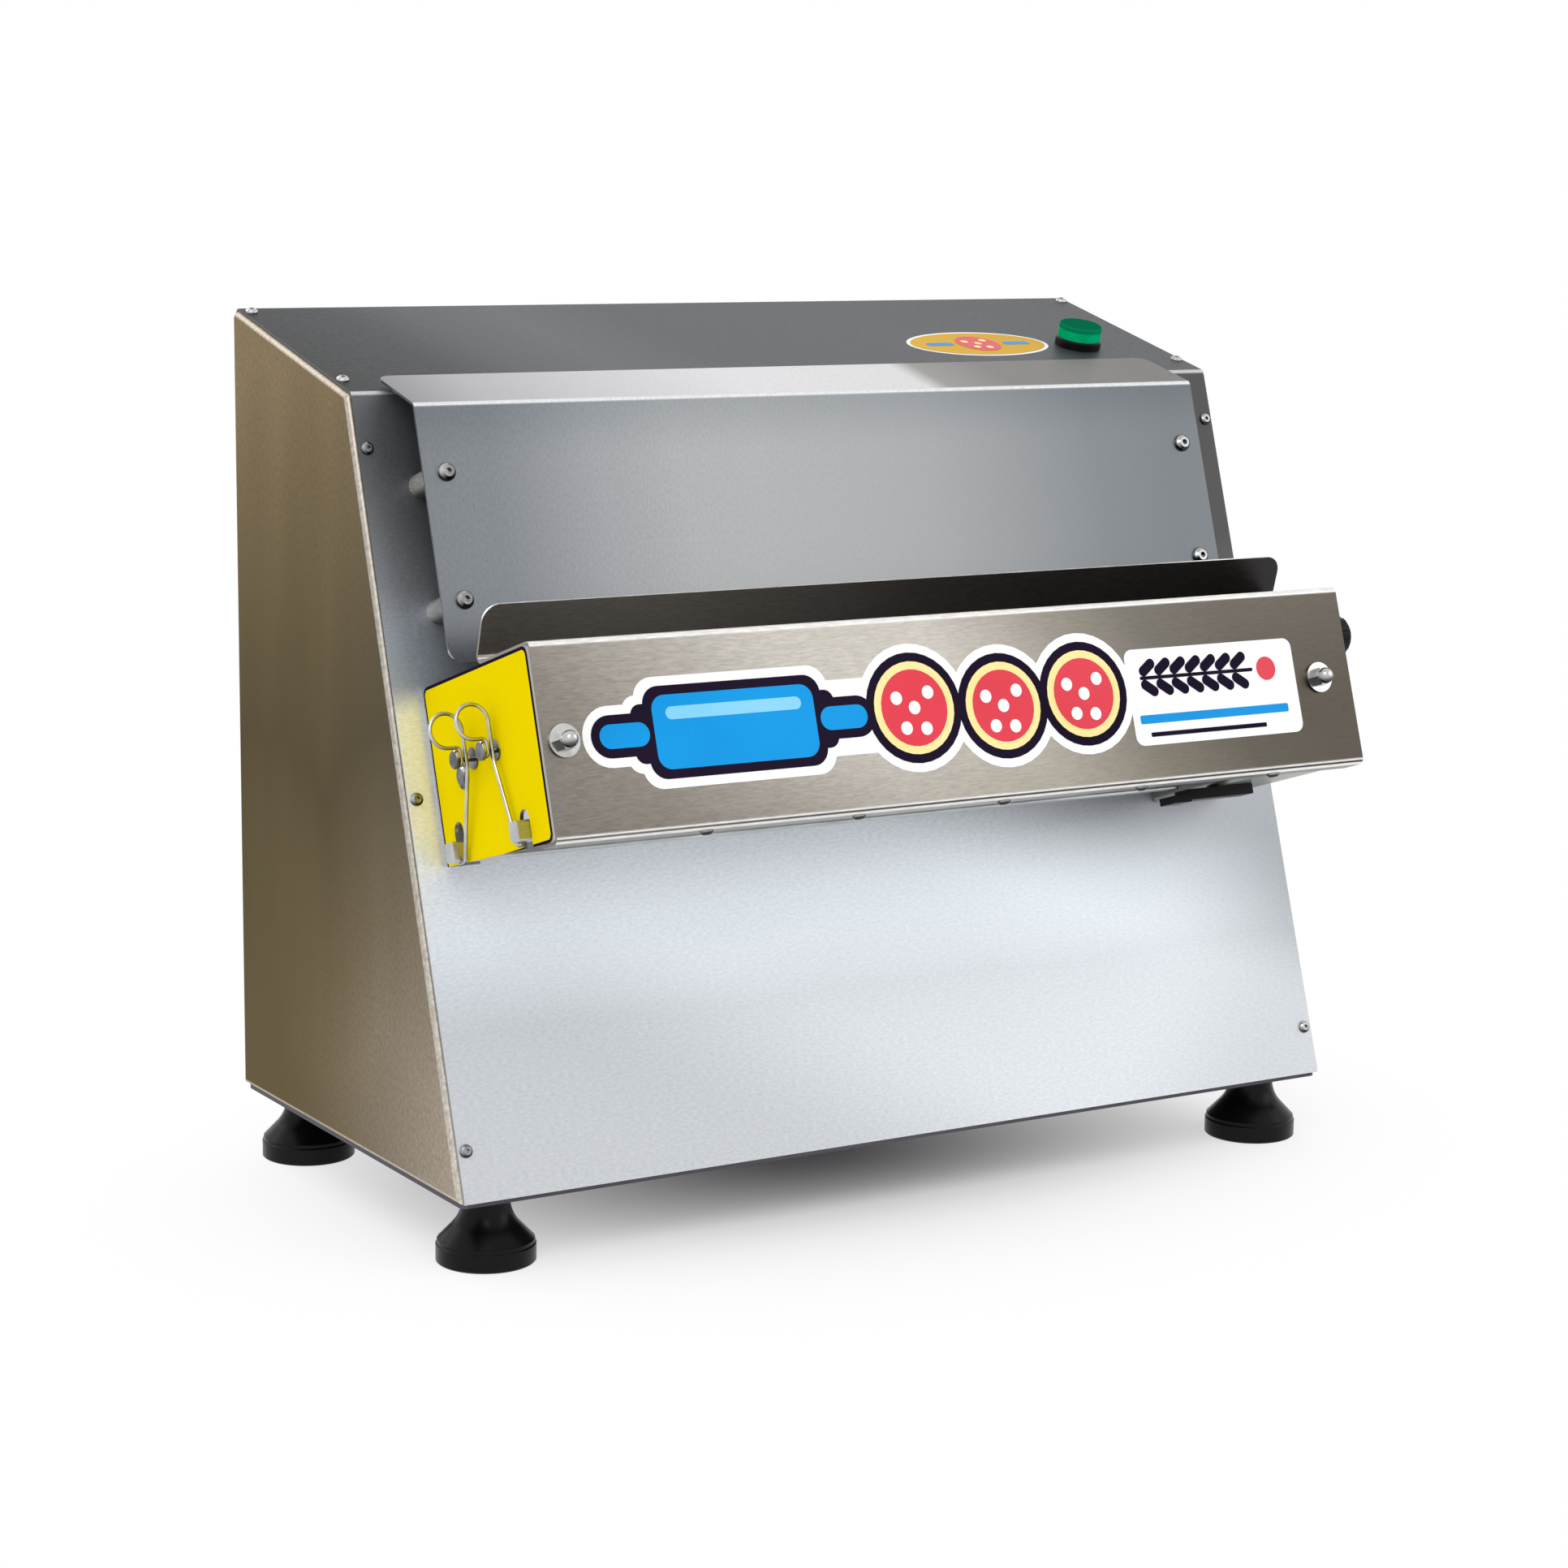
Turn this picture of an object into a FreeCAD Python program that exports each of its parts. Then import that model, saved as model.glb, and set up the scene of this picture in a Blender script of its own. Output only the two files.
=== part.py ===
import FreeCAD, Part
import math
import os
import Sketcher

# Pizza dough roller for a worktop. Dough slides down the chute, passes between two rollers in the
# box on the sloping front and drops out below. Wire latches hold a scraper under each roller.
# X runs to the machine's right as seen from in front of the box, Y to the rear, Z up from the worktop.

Vector = FreeCAD.Vector
doc = FreeCAD.newDocument("DoughRoller")
sheet = doc.addObject("Spreadsheet::Sheet", "Sizes")

sizeRows = [
    # body
    ("bodyWidth", 600, "outside width over the side panels"),
    ("bodyDepth", 300, "depth at the bottom"),
    ("slopeLength", 452, "front panel, bottom edge to top edge"),
    ("slopeAngle", 17.83, "lean of the front panel from upright, degrees"),
    ("topAngle", 14.1, "rise of the top towards the rear, degrees"),
    ("sheetThick", 1.5, "stainless sheet of the body"),
    ("bendInside", 2.5, "inside radius of the sheet bends"),
    ("coverEdgeInset", 3, "front and top sheet set in from the side panels"),
    ("rearLip", 20, "turned down rear edge of the top"),
    ("sideFlange", 20, "turned in edges of the side panels"),
    ("panelCorner", 4, "corner radius of the side panels under the bends of the top"),
    ("sideBend", 3, "outside radius of the side panel bends"),
    ("baseInset", 2.5, "base pan set in from the body's outline"),
    ("baseLip", 3, "turned down edge of the base pan"),
    ("baseCorner", 4, "corner radius of the base pan"),
    ("panelGap", 1, "gap between sheets that meet edge to edge"),
    ("overrun", 1, "how far a cutting shape passes its face"),
    # feet
    ("footHeight", 43, "worktop to the body's bottom"),
    ("footRadius", 28, "base ring of a foot"),
    ("footRing", 10, "height of the base ring"),
    ("footShoulder", 3.5, "height of the shoulder above the ring"),
    ("footCone", 13.5, "height of the cone above the shoulder, without its blend"),
    ("footNeck", 13.6, "radius of a foot at its top"),
    ("footFlare", 20, "radius of the blend between cone and neck"),
    ("footSideInset", 31, "foot centre from the side"),
    ("footFrontInset", 31, "front foot centre from the front edge"),
    ("footRearInset", 27.5, "rear foot centre from the rear"),
    ("studRadius", 5, "threaded stud of a foot"),
    ("studRise", 26, "stud above the base pan"),
    ("footNutHeight", 8, "nut welded on the base pan"),
    ("footNutFlats", 17, "nut across flats"),
    ("fitGap", 0.05, "radial gap of a shaft in its hole"),
    ("looseGap", 0.3, "gap beside a piece that slides or hangs"),
    # screws
    ("smallHead", 3.8, "head radius of the small button screws"),
    ("smallHeadRise", 2.2, "head height of the small button screws"),
    ("smallShank", 2, "shank radius of the small screws"),
    ("smallLength", 8, "length under head of the small screws"),
    ("largeHead", 5.35, "head radius of the chute screws"),
    ("largeHeadRise", 3.3, "head height of the chute screws"),
    ("largeShank", 3, "shank radius of the chute screws"),
    ("screwEdge", 8, "small screw from the body's side"),
    ("frontScrewLow", 29, "lowest front screw up the slope"),
    ("frontScrewMid", 223, "middle front screw up the slope"),
    ("frontScrewHigh", 420, "highest front screw up the slope"),
    ("topScrewFront", 22.5, "front screw of the top from its front edge"),
    ("topScrewBack", 12.1, "rear screw of the top from its rear edge"),
    ("rearScrewInset", 16, "rear panel screw from top and bottom of that panel"),
    # front assembly
    ("boxLeftInset", 20, "roller box from the body's left side"),
    ("boxRightInset", 40, "roller box from the body's right side"),
    ("chuteEdgeInset", 3, "chute short of the box's ends"),
    ("chuteStand", 35, "chute's face from the front panel's face"),
    ("chuteGap", 7, "chute's lower edge above the box's upper face"),
    ("chuteDrop", 15.6, "chute's top bend below the front panel's top edge"),
    ("chuteFlange", 50, "chute's turned back top"),
    ("chuteCorner", 8, "corner radius of the chute"),
    ("chuteScrewInset", 14, "chute screws from the chute's edges"),
    ("chuteScrewRise", 34, "lower chute screws above the chute's lower edge"),
    ("chuteScrewDrop", 38.9, "upper chute screws below the chute's top bend"),
    ("spacerRadius", 7, "tube between chute and front panel"),
    ("boxDepth", 136, "face of the box from the front panel"),
    ("boxBottom", 177.5, "lower face of the box up the slope"),
    ("boxHeight", 107.5, "height of the roller box up the slope"),
    ("boxLowerFlange", 18, "turned in lower edge of the box cover"),
    ("boxUpperDepth", 63, "upper face of the cover, front to lip"),
    ("lipLength", 33, "flared lip of the cover"),
    ("lipAngle", 33, "lean of the lip to the front, degrees"),
    ("lipCorner", 10, "corner radius of the lip"),
    ("plateThick", 2, "end plates and divider of the box"),
    ("plateFlange", 26, "left end plate's edge behind the cover"),
    ("plateRear", 20, "left end plate's edge at the front panel"),
    ("rightPlateFlange", 38, "right end plate's edge behind the cover"),
    ("rightPlateRear", 10, "right end plate's edge at the front panel"),
    ("plateRearRise", 6.5, "end plate's lower edge at the front panel above the box's lower face"),
    ("plateClear", 0.2, "end plate's lower edge above the cover's lower flange"),
    ("plateCorner", 3, "corner radius of the end plates' lower edge"),
    ("domeNutAbove", 53.5, "dome nuts above the box's lower face"),
    ("leftDomeInset", 12, "left dome nut from the box's left end"),
    ("rightDomeInset", 24, "right dome nut from the box's right end"),
    ("domeRadius", 6, "dome nut's round top"),
    ("domeFlats", 10, "dome nut across flats"),
    ("domeHex", 5, "height of the dome nut's hexagon"),
    ("washerRadius", 9, "washer under a dome nut"),
    ("washerThick", 1.6, "washer under a dome nut"),
    ("coverScrewFirst", 92.6, "first screw of the lower flange from the box's left end"),
    ("coverScrewLast", 63.4, "last screw of the lower flange from the box's right end"),
    ("coverScrews", 5, "screws of the lower flange"),
    ("coverScrewSetback", 7, "screws of the lower flange from the box's face"),
    ("stiffenerHeight", 4, "bar inside the lower flange"),
    ("stiffenerWidth", 12, "bar inside the lower flange"),
    # rollers
    ("rollerRadius", 27, "radius of both rollers"),
    ("rollerGap", 1, "gap between the closed rollers"),
    ("gapTravel", 3.5, "how far the gap opens"),
    ("rearRollerOff", 38, "rear roller's axis from the front panel"),
    ("rollerAbove", 51.5, "roller axes above the box's lower face"),
    ("rollerStart", 22, "roller's left end from the box's left end"),
    ("rollerEndGap", 20, "roller's right end from the divider"),
    ("rollerChamfer", 1.5, "edge of the rollers"),
    ("rollerRecess", 4, "depth of the turned recess in a roller's end"),
    ("rollerRim", 4, "wall of the roller outside that recess"),
    ("shaftRadius", 8, "roller shafts"),
    ("shaftEndGap", 5, "shaft's left end from the box's left end"),
    ("shaftChamfer", 1, "ends of the shafts"),
    ("gearSpace", 57, "divider from the box's right end"),
    ("carrierThick", 10, "bearing carriers"),
    ("carrierDrop", 21, "bearing carriers' lower edge below the roller axes"),
    ("carrierHeight", 62, "bearing carriers"),
    ("carrierSetback", 7, "bearing carriers from the box's inner faces"),
    ("bushWall", 3, "bronze bushing's wall"),
    ("bushProud", 1, "bushing past its carrier"),
    ("blockHalf", 12, "bearing block from its axis to each side"),
    ("blockAbove", 33, "bearing block's upper end above the roller axes"),
    ("blockThick", 16.5, "bearing block along the shaft"),
    ("gearTeeth", 22, "teeth of the roller gears"),
    ("gearWidth", 14, "face width of the roller gears"),
    ("gearHub", 14, "hub radius of the roller gears"),
    ("gearHubRise", 3, "hub past the gear's face"),
    ("gearPlace", 9, "gear from the divider"),
    ("toothSlack", 0.08, "each tooth flank cut back"),
    ("pulleyRadius", 26, "belt pulleys under the belt"),
    ("pulleyFlange", 3, "flange above the belt seat"),
    ("flangeThick", 1.5, "flange of a pulley"),
    ("beltWidth", 11, "drive belt"),
    ("beltThick", 4, "drive belt"),
    ("beltPlace", 34, "belt from the divider"),
    ("motorDepth", 170, "motor axis behind the body's front bottom edge"),
    ("motorRise", 150, "motor axis above the body's bottom"),
    ("motorRadius", 56, "motor housing"),
    ("motorLength", 190, "motor housing"),
    ("motorEndCap", 22, "fan cowl at the motor's end"),
    ("motorFinDepth", 5, "cooling fins"),
    ("motorFins", 7, "cooling rings"),
    ("gearboxLength", 96, "gearbox along the motor axis"),
    ("gearboxHalf", 48, "gearbox from its axis to each side"),
    ("gearboxCorner", 12, "corner radius of the gearbox"),
    ("outputRadius", 9, "gearbox output shaft"),
    ("bracketWidth", 130, "motor bracket front to rear"),
    ("bracketThick", 4, "motor bracket"),
    ("bracketFoot", 110, "motor bracket's foot along the axis"),
    ("windowAbove", 6.5, "belt window's lower edge above the box's lower face"),
    ("windowHeight", 78, "belt window"),
    ("windowWidth", 20, "belt window"),
    # gap setting
    ("camShaftAhead", 25, "gap shaft's axis before the front roller's axis"),
    ("camShaftAbove", 28.5, "gap shaft's axis above the roller axes"),
    ("camShaftRadius", 4, "gap shaft"),
    ("camWidth", 4.5, "cams of the gap shaft"),
    ("camTurn", 270, "turn of the knob, degrees"),
    ("knobRadius", 12, "gap knob"),
    ("knobLength", 13, "gap knob"),
    ("knobGrip", 1, "depth of the knob's grip grooves"),
    ("knobGrooves", 12, "grip grooves of the knob"),
    # scrapers
    ("barWidth", 10.5, "scraper bar front to rear"),
    ("barHeight", 11, "scraper bar"),
    ("barDrop", 12.5, "scraper bars' centre below the rollers' undersides"),
    ("barProud", 7.5, "scraper bar past the left end plate"),
    ("barEdge", 1, "edge of the scraper bars"),
    ("rearBarBack", 15, "rear scraper bar behind the rear roller's axis"),
    ("frontBarAhead", 10, "front scraper bar before the front roller's axis"),
    ("bladeThick", 1.2, "scraper blade"),
    ("bladeLap", 6, "blade beside its bar"),
    ("bladeInset", 4, "blade short of the roller's ends"),
    ("rearNotchAbove", 16.5, "rear notch of the left end plate above the bars' centre"),
    ("frontNotchAbove", 11.5, "front notch of the left end plate above the bars' centre"),
    # latches
    ("pinRadius", 1.75, "latch pin"),
    ("pinHead", 5.25, "latch pin's head"),
    ("pinHeadThick", 2, "latch pin's head"),
    ("rearPinReach", 12.5, "rear latch pin past the end plate"),
    ("frontPinReach", 10, "front latch pin past the end plate"),
    ("rearPinAhead", 15.3, "rear latch pin before the rear roller's axis"),
    ("frontPinBack", 12, "front latch pin behind the front roller's axis"),
    ("pinAbove", 7.3, "latch pins above the roller axes"),
    ("pinWasher", 6, "washer of a latch pin"),
    ("pinWasherThick", 1.2, "washer of a latch pin"),
    ("wireRadius", 1.1, "latch wire"),
    ("ringRadius", 9.4, "finger ring of a latch, to the wire's centre"),
    ("hookRadius", 3, "bend of a latch's hook"),
    ("hookLength", 6.5, "latch's hook under its bar"),
    ("boltRadius", 7.25, "flanged bolt of the rear bearing"),
    ("boltRise", 2.4, "flanged bolt of the rear bearing"),
    # lamp, switches, cable
    ("lampInset", 62.5, "lamp from the body's right side"),
    ("lampBack", 56.5, "lamp from the top's front edge"),
    ("lampBaseRadius", 14.75, "lamp's base"),
    ("lampBaseHeight", 5.5, "lamp's base"),
    ("lensRadius", 13.6, "lamp's lens"),
    ("lensHeight", 9, "lamp's lens"),
    ("lampNeckRadius", 11, "lamp's threaded neck"),
    ("lampNeckLength", 32, "lamp's threaded neck"),
    ("sensorWidth", 50, "safety switch under the box"),
    ("sensorDepth", 12, "safety switch under the box"),
    ("sensorHeight", 6.5, "safety switch under the box"),
    ("sensorInset", 30, "safety switch from the box's right end"),
    ("sensorPlace", 54, "safety switch before the front panel"),
    ("rockerWidth", 27, "power switch opening"),
    ("rockerHeight", 22, "power switch opening"),
    ("bezelRim", 3, "power switch bezel around its opening"),
    ("bezelThick", 2, "power switch bezel"),
    ("rockerTilt", 14, "half of the power switch's swing, degrees"),
    ("switchInset", 95, "power switch from the body's side"),
    ("glandInset", 45, "cable gland from the body's side"),
    ("rearServiceRise", 60, "power switch and gland above the body's bottom"),
    ("glandRadius", 11, "cable gland"),
    ("glandThread", 8, "thread of the cable gland"),
    ("glandBore", 4.2, "bore of the cable gland"),
    ("glandReach", 20, "cable gland past the rear panel"),
    ("ventCount", 12, "air slots of the rear panel in a row"),
    ("ventPitch", 16, "between the air slots"),
    ("ventHeight", 60, "height of an air slot"),
    ("ventHalf", 2.5, "half width of an air slot"),
    ("ventRise", 250, "centre of the air slots above the body's bottom"),
]
for row, (alias, value, note) in enumerate(sizeRows, start=1):
    sheet.set("A%d" % row, alias)
    sheet.set("B%d" % row, str(value))
    sheet.set("C%d" % row, note)
    sheet.setAlias("B%d" % row, alias)
doc.recompute()


# A size knows its formula in the sheet's names and what that formula comes to.
class Size:
    def __init__(self, text, value, plain=False):
        self.text = text
        self.value = value
        self.plain = plain

    def combined(self, sign, other, value):
        if self.plain and other.plain:
            return size(value)
        return Size("(%s %s %s)" % (self.text, sign, other.text), value)

    def __add__(self, other):
        other = size(other)
        if other.plain and other.value == 0:
            return self
        if self.plain and self.value == 0:
            return other
        return self.combined("+", other, self.value + other.value)

    def __sub__(self, other):
        other = size(other)
        if other.plain and other.value == 0:
            return self
        return self.combined("-", other, self.value - other.value)

    def __mul__(self, other):
        other = size(other)
        for one, rest in ((self, other), (other, self)):
            if one.plain and one.value in (0, 1):
                return rest if one.value else size(0)
        return self.combined("*", other, self.value * other.value)

    def __truediv__(self, other):
        other = size(other)
        return self.combined("/", other, self.value / other.value)

    def __neg__(self):
        return size(0).combined("-", self, -self.value)

    def __radd__(self, other):
        return size(other) + self

    def __rsub__(self, other):
        return size(other) - self

    def __rmul__(self, other):
        return size(other) * self

    def __rtruediv__(self, other):
        return size(other) / self


def size(item):
    if isinstance(item, Size):
        return item
    return Size("%.12g" % item, float(item), True)


def sine(angle):
    angle = size(angle)
    value = math.sin(math.radians(angle.value))
    if angle.plain:
        return size(round(value, 12))
    return Size("sin(1 deg * %s)" % angle.text, value)


def cosine(angle):
    angle = size(angle)
    value = math.cos(math.radians(angle.value))
    if angle.plain:
        return size(round(value, 12))
    return Size("cos(1 deg * %s)" % angle.text, value)


def root(item):
    return Size("sqrt(%s)" % item.text, math.sqrt(item.value))


class Named:
    pass


d = Named()
for alias, value, note in sizeRows:
    setattr(d, alias, Size("Sizes." + alias, float(sheet.get(alias))))


# A frame is a place and a tilt about X. Pieces are drawn in the frame of what carries them.
class Frame:
    def __init__(self, x, y, z, tilt):
        self.x = size(x)
        self.y = size(y)
        self.z = size(z)
        self.tilt = size(tilt)

    def point(self, x, y, z):
        y = size(y)
        z = size(z)
        return (self.x + x,
                self.y + y * cosine(self.tilt) - z * sine(self.tilt),
                self.z + y * sine(self.tilt) + z * cosine(self.tilt))

    def at(self, x, y, z):
        px, py, pz = self.point(x, y, z)
        return Frame(px, py, pz, self.tilt)

    def turned(self, angle):
        return Frame(self.x, self.y, self.z, self.tilt + angle)

    def text(self):
        place = "create(<<vector>>; %s; %s; %s)" % (self.x.text, self.y.text, self.z.text)
        turn = "create(<<rotation>>; create(<<vector>>; 1; 0; 0); %s)" % self.tilt.text
        return "create(<<placement>>; %s; %s)" % (place, turn)

    def placement(self):
        turn = FreeCAD.Rotation(Vector(1, 0, 0), self.tilt.value)
        return FreeCAD.Placement(Vector(self.x.value, self.y.value, self.z.value), turn)


# derived sizes that several pieces share
slopeRun = d.slopeLength * sine(d.slopeAngle)
slopeRise = d.slopeLength * cosine(d.slopeAngle)
topLength = (d.bodyDepth - slopeRun) / cosine(d.topAngle)
bodyHeight = slopeRise + topLength * sine(d.topAngle)
topScrewRear = topLength - d.topScrewBack
lampSide = d.bodyWidth / 2 - d.lampInset
switchSide = d.bodyWidth / 2 - d.switchInset
glandSide = d.bodyWidth / 2 - d.glandInset
boxLeft = d.boxLeftInset - d.bodyWidth / 2
boxRight = d.bodyWidth / 2 - d.boxRightInset
boxWidth = boxRight - boxLeft
frontShift = (boxLeft + boxRight) / 2
chuteWidth = boxWidth - 2 * d.chuteEdgeInset
coverScrewPitch = (boxWidth - d.coverScrewFirst - d.coverScrewLast) / (d.coverScrews - 1)
dividerPlace = boxWidth - d.gearSpace
rollerLength = dividerPlace - d.rollerStart - d.rollerEndGap
boxTop = d.boxBottom + d.boxHeight
boxInside = d.boxDepth - d.sheetThick
chuteBottom = boxTop + d.chuteGap
chuteTop = d.slopeLength - d.chuteDrop
chuteScrewLow = chuteBottom + d.chuteScrewRise
chuteScrewHigh = chuteTop - d.chuteScrewDrop
dividerLeft = boxLeft + dividerPlace
plateTop = boxTop - d.sheetThick - d.fitGap
plateRearBottom = d.boxBottom + d.plateRearRise
plateFrontBottom = d.boxBottom + d.sheetThick + d.plateClear
domeNutRise = d.boxBottom + d.domeNutAbove
windowLow = d.boxBottom + d.windowAbove
windowHigh = windowLow + d.windowHeight
rollerRise = d.boxBottom + d.rollerAbove
frontRollerOff = d.rearRollerOff + 2 * d.rollerRadius + d.rollerGap
gearModule = (frontRollerOff - d.rearRollerOff) / d.gearTeeth
carrierBottom = rollerRise - d.carrierDrop
carrierTop = carrierBottom + d.carrierHeight
blockTop = rollerRise + d.blockAbove
camShaftOff = frontRollerOff + d.camShaftAhead
camShaftRise = rollerRise + d.camShaftAbove
barRise = rollerRise - d.rollerRadius - d.barDrop
rearBarOff = d.rearRollerOff - d.rearBarBack
frontBarOff = frontRollerOff + d.frontBarAhead
rearNotchTop = barRise + d.rearNotchAbove
frontNotchTop = barRise + d.frontNotchAbove
rearPinOff = d.rearRollerOff + d.rearPinAhead
frontPinOff = frontRollerOff - d.frontPinBack
pinRise = rollerRise + d.pinAbove
wireStand = d.pinRadius + d.wireRadius + d.looseGap
rearLegTop = boxLeft - d.rearPinReach + d.pinHeadThick + 3 * (d.wireRadius + d.looseGap)
ringOverhang = 2 * d.ringRadius + d.wireRadius - rearLegTop - d.bodyWidth / 2

# The origin is on the worktop at the centre of the whole machine's outline.
frontReach = d.boxDepth * cosine(d.slopeAngle) - d.boxBottom * sine(d.slopeAngle)
rearReach = d.bodyDepth + d.glandReach
level = Frame(ringOverhang / 2, (frontReach - rearReach) / 2, d.footHeight, 0)
slope = level.turned(-d.slopeAngle)
top = Frame(level.x, level.y + slopeRun, level.z + slopeRise, d.topAngle)

nodes = {}
pockets = []


def bind(item, path, length):
    item.setExpression(path, size(length).text)


def newBody(label, frame):
    body = doc.addObject("PartDesign::Body", label)
    body.Label = label
    body.Placement = frame.placement()
    body.setExpression("Placement", frame.text())
    nodes[label] = body
    return body


# A sketch on one of the body's own planes, moved along its normal and tilted about its X.
def newSketch(body, role, offset=0, tilt=0):
    sketch = body.newObject("Sketcher::SketchObject", body.Name + "Sketch")
    plane = [item for item in body.Origin.OriginFeatures if item.Role == role][0]
    sketch.AttachmentSupport = [(plane, "")]
    sketch.MapMode = "FlatFace"
    offset = size(offset)
    tilt = size(tilt)
    bindSeat(sketch, Frame(0, -(offset * sine(tilt)), offset * cosine(tilt), tilt))
    return sketch


def bindSeat(sketch, seat):
    sketch.AttachmentOffset = seat.placement()
    sketch.setExpression("AttachmentOffset", seat.text())


def vec(x, y):
    return Vector(x, y, 0)


def bindPoint(sketch, geometry, corner, x, y):
    x = size(x)
    y = size(y)
    for kind, length in (("DistanceX", x), ("DistanceY", y)):
        index = sketch.addConstraint(Sketcher.Constraint(kind, -1, 1, geometry, corner, length.value))
        if not length.plain:
            sketch.setExpression("Constraints[%d]" % index, length.text)


def bindRadius(sketch, geometry, radius):
    index = sketch.addConstraint(Sketcher.Constraint("Radius", geometry, radius.value))
    sketch.setExpression("Constraints[%d]" % index, radius.text)


# A closed outline through corners (x, y) or (x, y, radius); a radius rounds its corner.
def outline(sketch, corners):
    points = [vec(size(c[0]).value, size(c[1]).value) for c in corners]
    count = len(points)
    starts = []
    ends = []
    arcs = {}
    for i, corner in enumerate(corners):
        here = points[i]
        if len(corner) == 2:
            starts.append(here)
            ends.append(here)
            continue
        radius = size(corner[2]).value
        toBack = (points[i - 1] - here).normalize()
        toNext = (points[(i + 1) % count] - here).normalize()
        half = toBack.getAngle(toNext) / 2
        run = radius / math.tan(half)
        ends.append(here + toBack * run)
        starts.append(here + toNext * run)
        middle = (toBack + toNext).normalize()
        centre = here + middle * (radius / math.sin(half))
        leftTurn = toNext.cross(toBack).z > 0
        arcs[i] = (centre, radius, leftTurn)
    lines = []
    for i in range(count):
        lines.append(sketch.addGeometry(Part.LineSegment(starts[i], ends[(i + 1) % count]), False))
    for i, corner in enumerate(corners):
        before = lines[i - 1]
        after = lines[i]
        if i not in arcs:
            sketch.addConstraint(Sketcher.Constraint("Coincident", before, 2, after, 1))
            bindPoint(sketch, after, 1, corner[0], corner[1])
            continue
        centre, radius, leftTurn = arcs[i]
        first, last = (ends[i], starts[i]) if leftTurn else (starts[i], ends[i])
        arc = addArc(sketch, centre, radius, first, last)
        mark = sketch.addGeometry(Part.Point(points[i]), True)
        arcIn, arcOut = (1, 2) if leftTurn else (2, 1)
        sketch.addConstraint(Sketcher.Constraint("Tangent", before, 2, arc, arcIn))
        sketch.addConstraint(Sketcher.Constraint("Tangent", arc, arcOut, after, 1))
        sketch.addConstraint(Sketcher.Constraint("PointOnObject", mark, 1, before))
        sketch.addConstraint(Sketcher.Constraint("PointOnObject", mark, 1, after))
        bindPoint(sketch, mark, 1, corner[0], corner[1])
        bindRadius(sketch, arc, size(corner[2]))


# an arc that runs counterclockwise from its first to its last point
def addArc(sketch, centre, radius, first, last):
    start = math.atan2(first.y - centre.y, first.x - centre.x)
    stop = math.atan2(last.y - centre.y, last.x - centre.x)
    if stop < start:
        stop += 2 * math.pi
    ring = Part.Circle(centre, Vector(0, 0, 1), radius)
    return sketch.addGeometry(Part.ArcOfCircle(ring, start, stop), False)


def circle(sketch, x, y, radius):
    middle = vec(size(x).value, size(y).value)
    ring = sketch.addGeometry(Part.Circle(middle, Vector(0, 0, 1), size(radius).value), False)
    bindPoint(sketch, ring, 3, x, y)
    bindRadius(sketch, ring, size(radius))


# A slot with round ends along the sketch's X or Y between two centres.
def slot(sketch, x1, y1, x2, y2, radius):
    a = vec(size(x1).value, size(y1).value)
    b = vec(size(x2).value, size(y2).value)
    along = (b - a).normalize()
    side = vec(-along.y, along.x) * size(radius).value
    reach = size(radius).value
    upper = sketch.addGeometry(Part.LineSegment(b + side, a + side), False)
    lower = sketch.addGeometry(Part.LineSegment(a - side, b - side), False)
    far = addArc(sketch, b, reach, b - side, b + side)
    near = addArc(sketch, a, reach, a + side, a - side)
    for one, other in ((lower, far), (far, upper), (upper, near), (near, lower)):
        sketch.addConstraint(Sketcher.Constraint("Tangent", one, 2, other, 1))
    bindPoint(sketch, far, 3, x2, y2)
    bindPoint(sketch, near, 3, x1, y1)
    bindRadius(sketch, far, size(radius))


def box(sketch, x1, y1, x2, y2, radius=None):
    corners = [(x1, y1), (x2, y1), (x2, y2), (x1, y2)]
    outline(sketch, [c if radius is None else c + (radius,) for c in corners])


def pad(body, sketch, length, reverse=False, both=False):
    feature = body.newObject("PartDesign::Pad", body.Name + "Pad")
    feature.Profile = sketch
    bind(feature, "Length", length)
    feature.Reversed = reverse
    if both:
        feature.SideType = "Symmetric"
    return feature


def pocket(body, sketch, length, reverse=False, both=False):
    feature = body.newObject("PartDesign::Pocket", body.Name + "Pocket")
    feature.Profile = sketch
    bind(feature, "Length", length)
    feature.Reversed = reverse
    if both:
        feature.SideType = "Symmetric"
    pockets.append(feature)
    return feature


def revolve(body, sketch, axis="V_Axis"):
    feature = body.newObject("PartDesign::Revolution", body.Name + "Revolution")
    feature.Profile = sketch
    feature.ReferenceAxis = (sketch, [axis])
    feature.Angle = 360
    return feature


def roundEdges(body, radius, wanted):
    doc.recompute()
    base = body.Tip
    names = ["Edge%d" % (i + 1) for i, edge in enumerate(base.Shape.Edges) if wanted(edge)]
    feature = body.newObject("PartDesign::Fillet", body.Name + "Fillet")
    feature.Base = (base, names)
    bind(feature, "Radius", radius)
    return feature


def ends(edge):
    return [vertex.Point for vertex in edge.Vertexes]


# headings in a folded sheet's section, degrees
rearward, upward, frontward, downward = 0, 90, 180, -90


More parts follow.
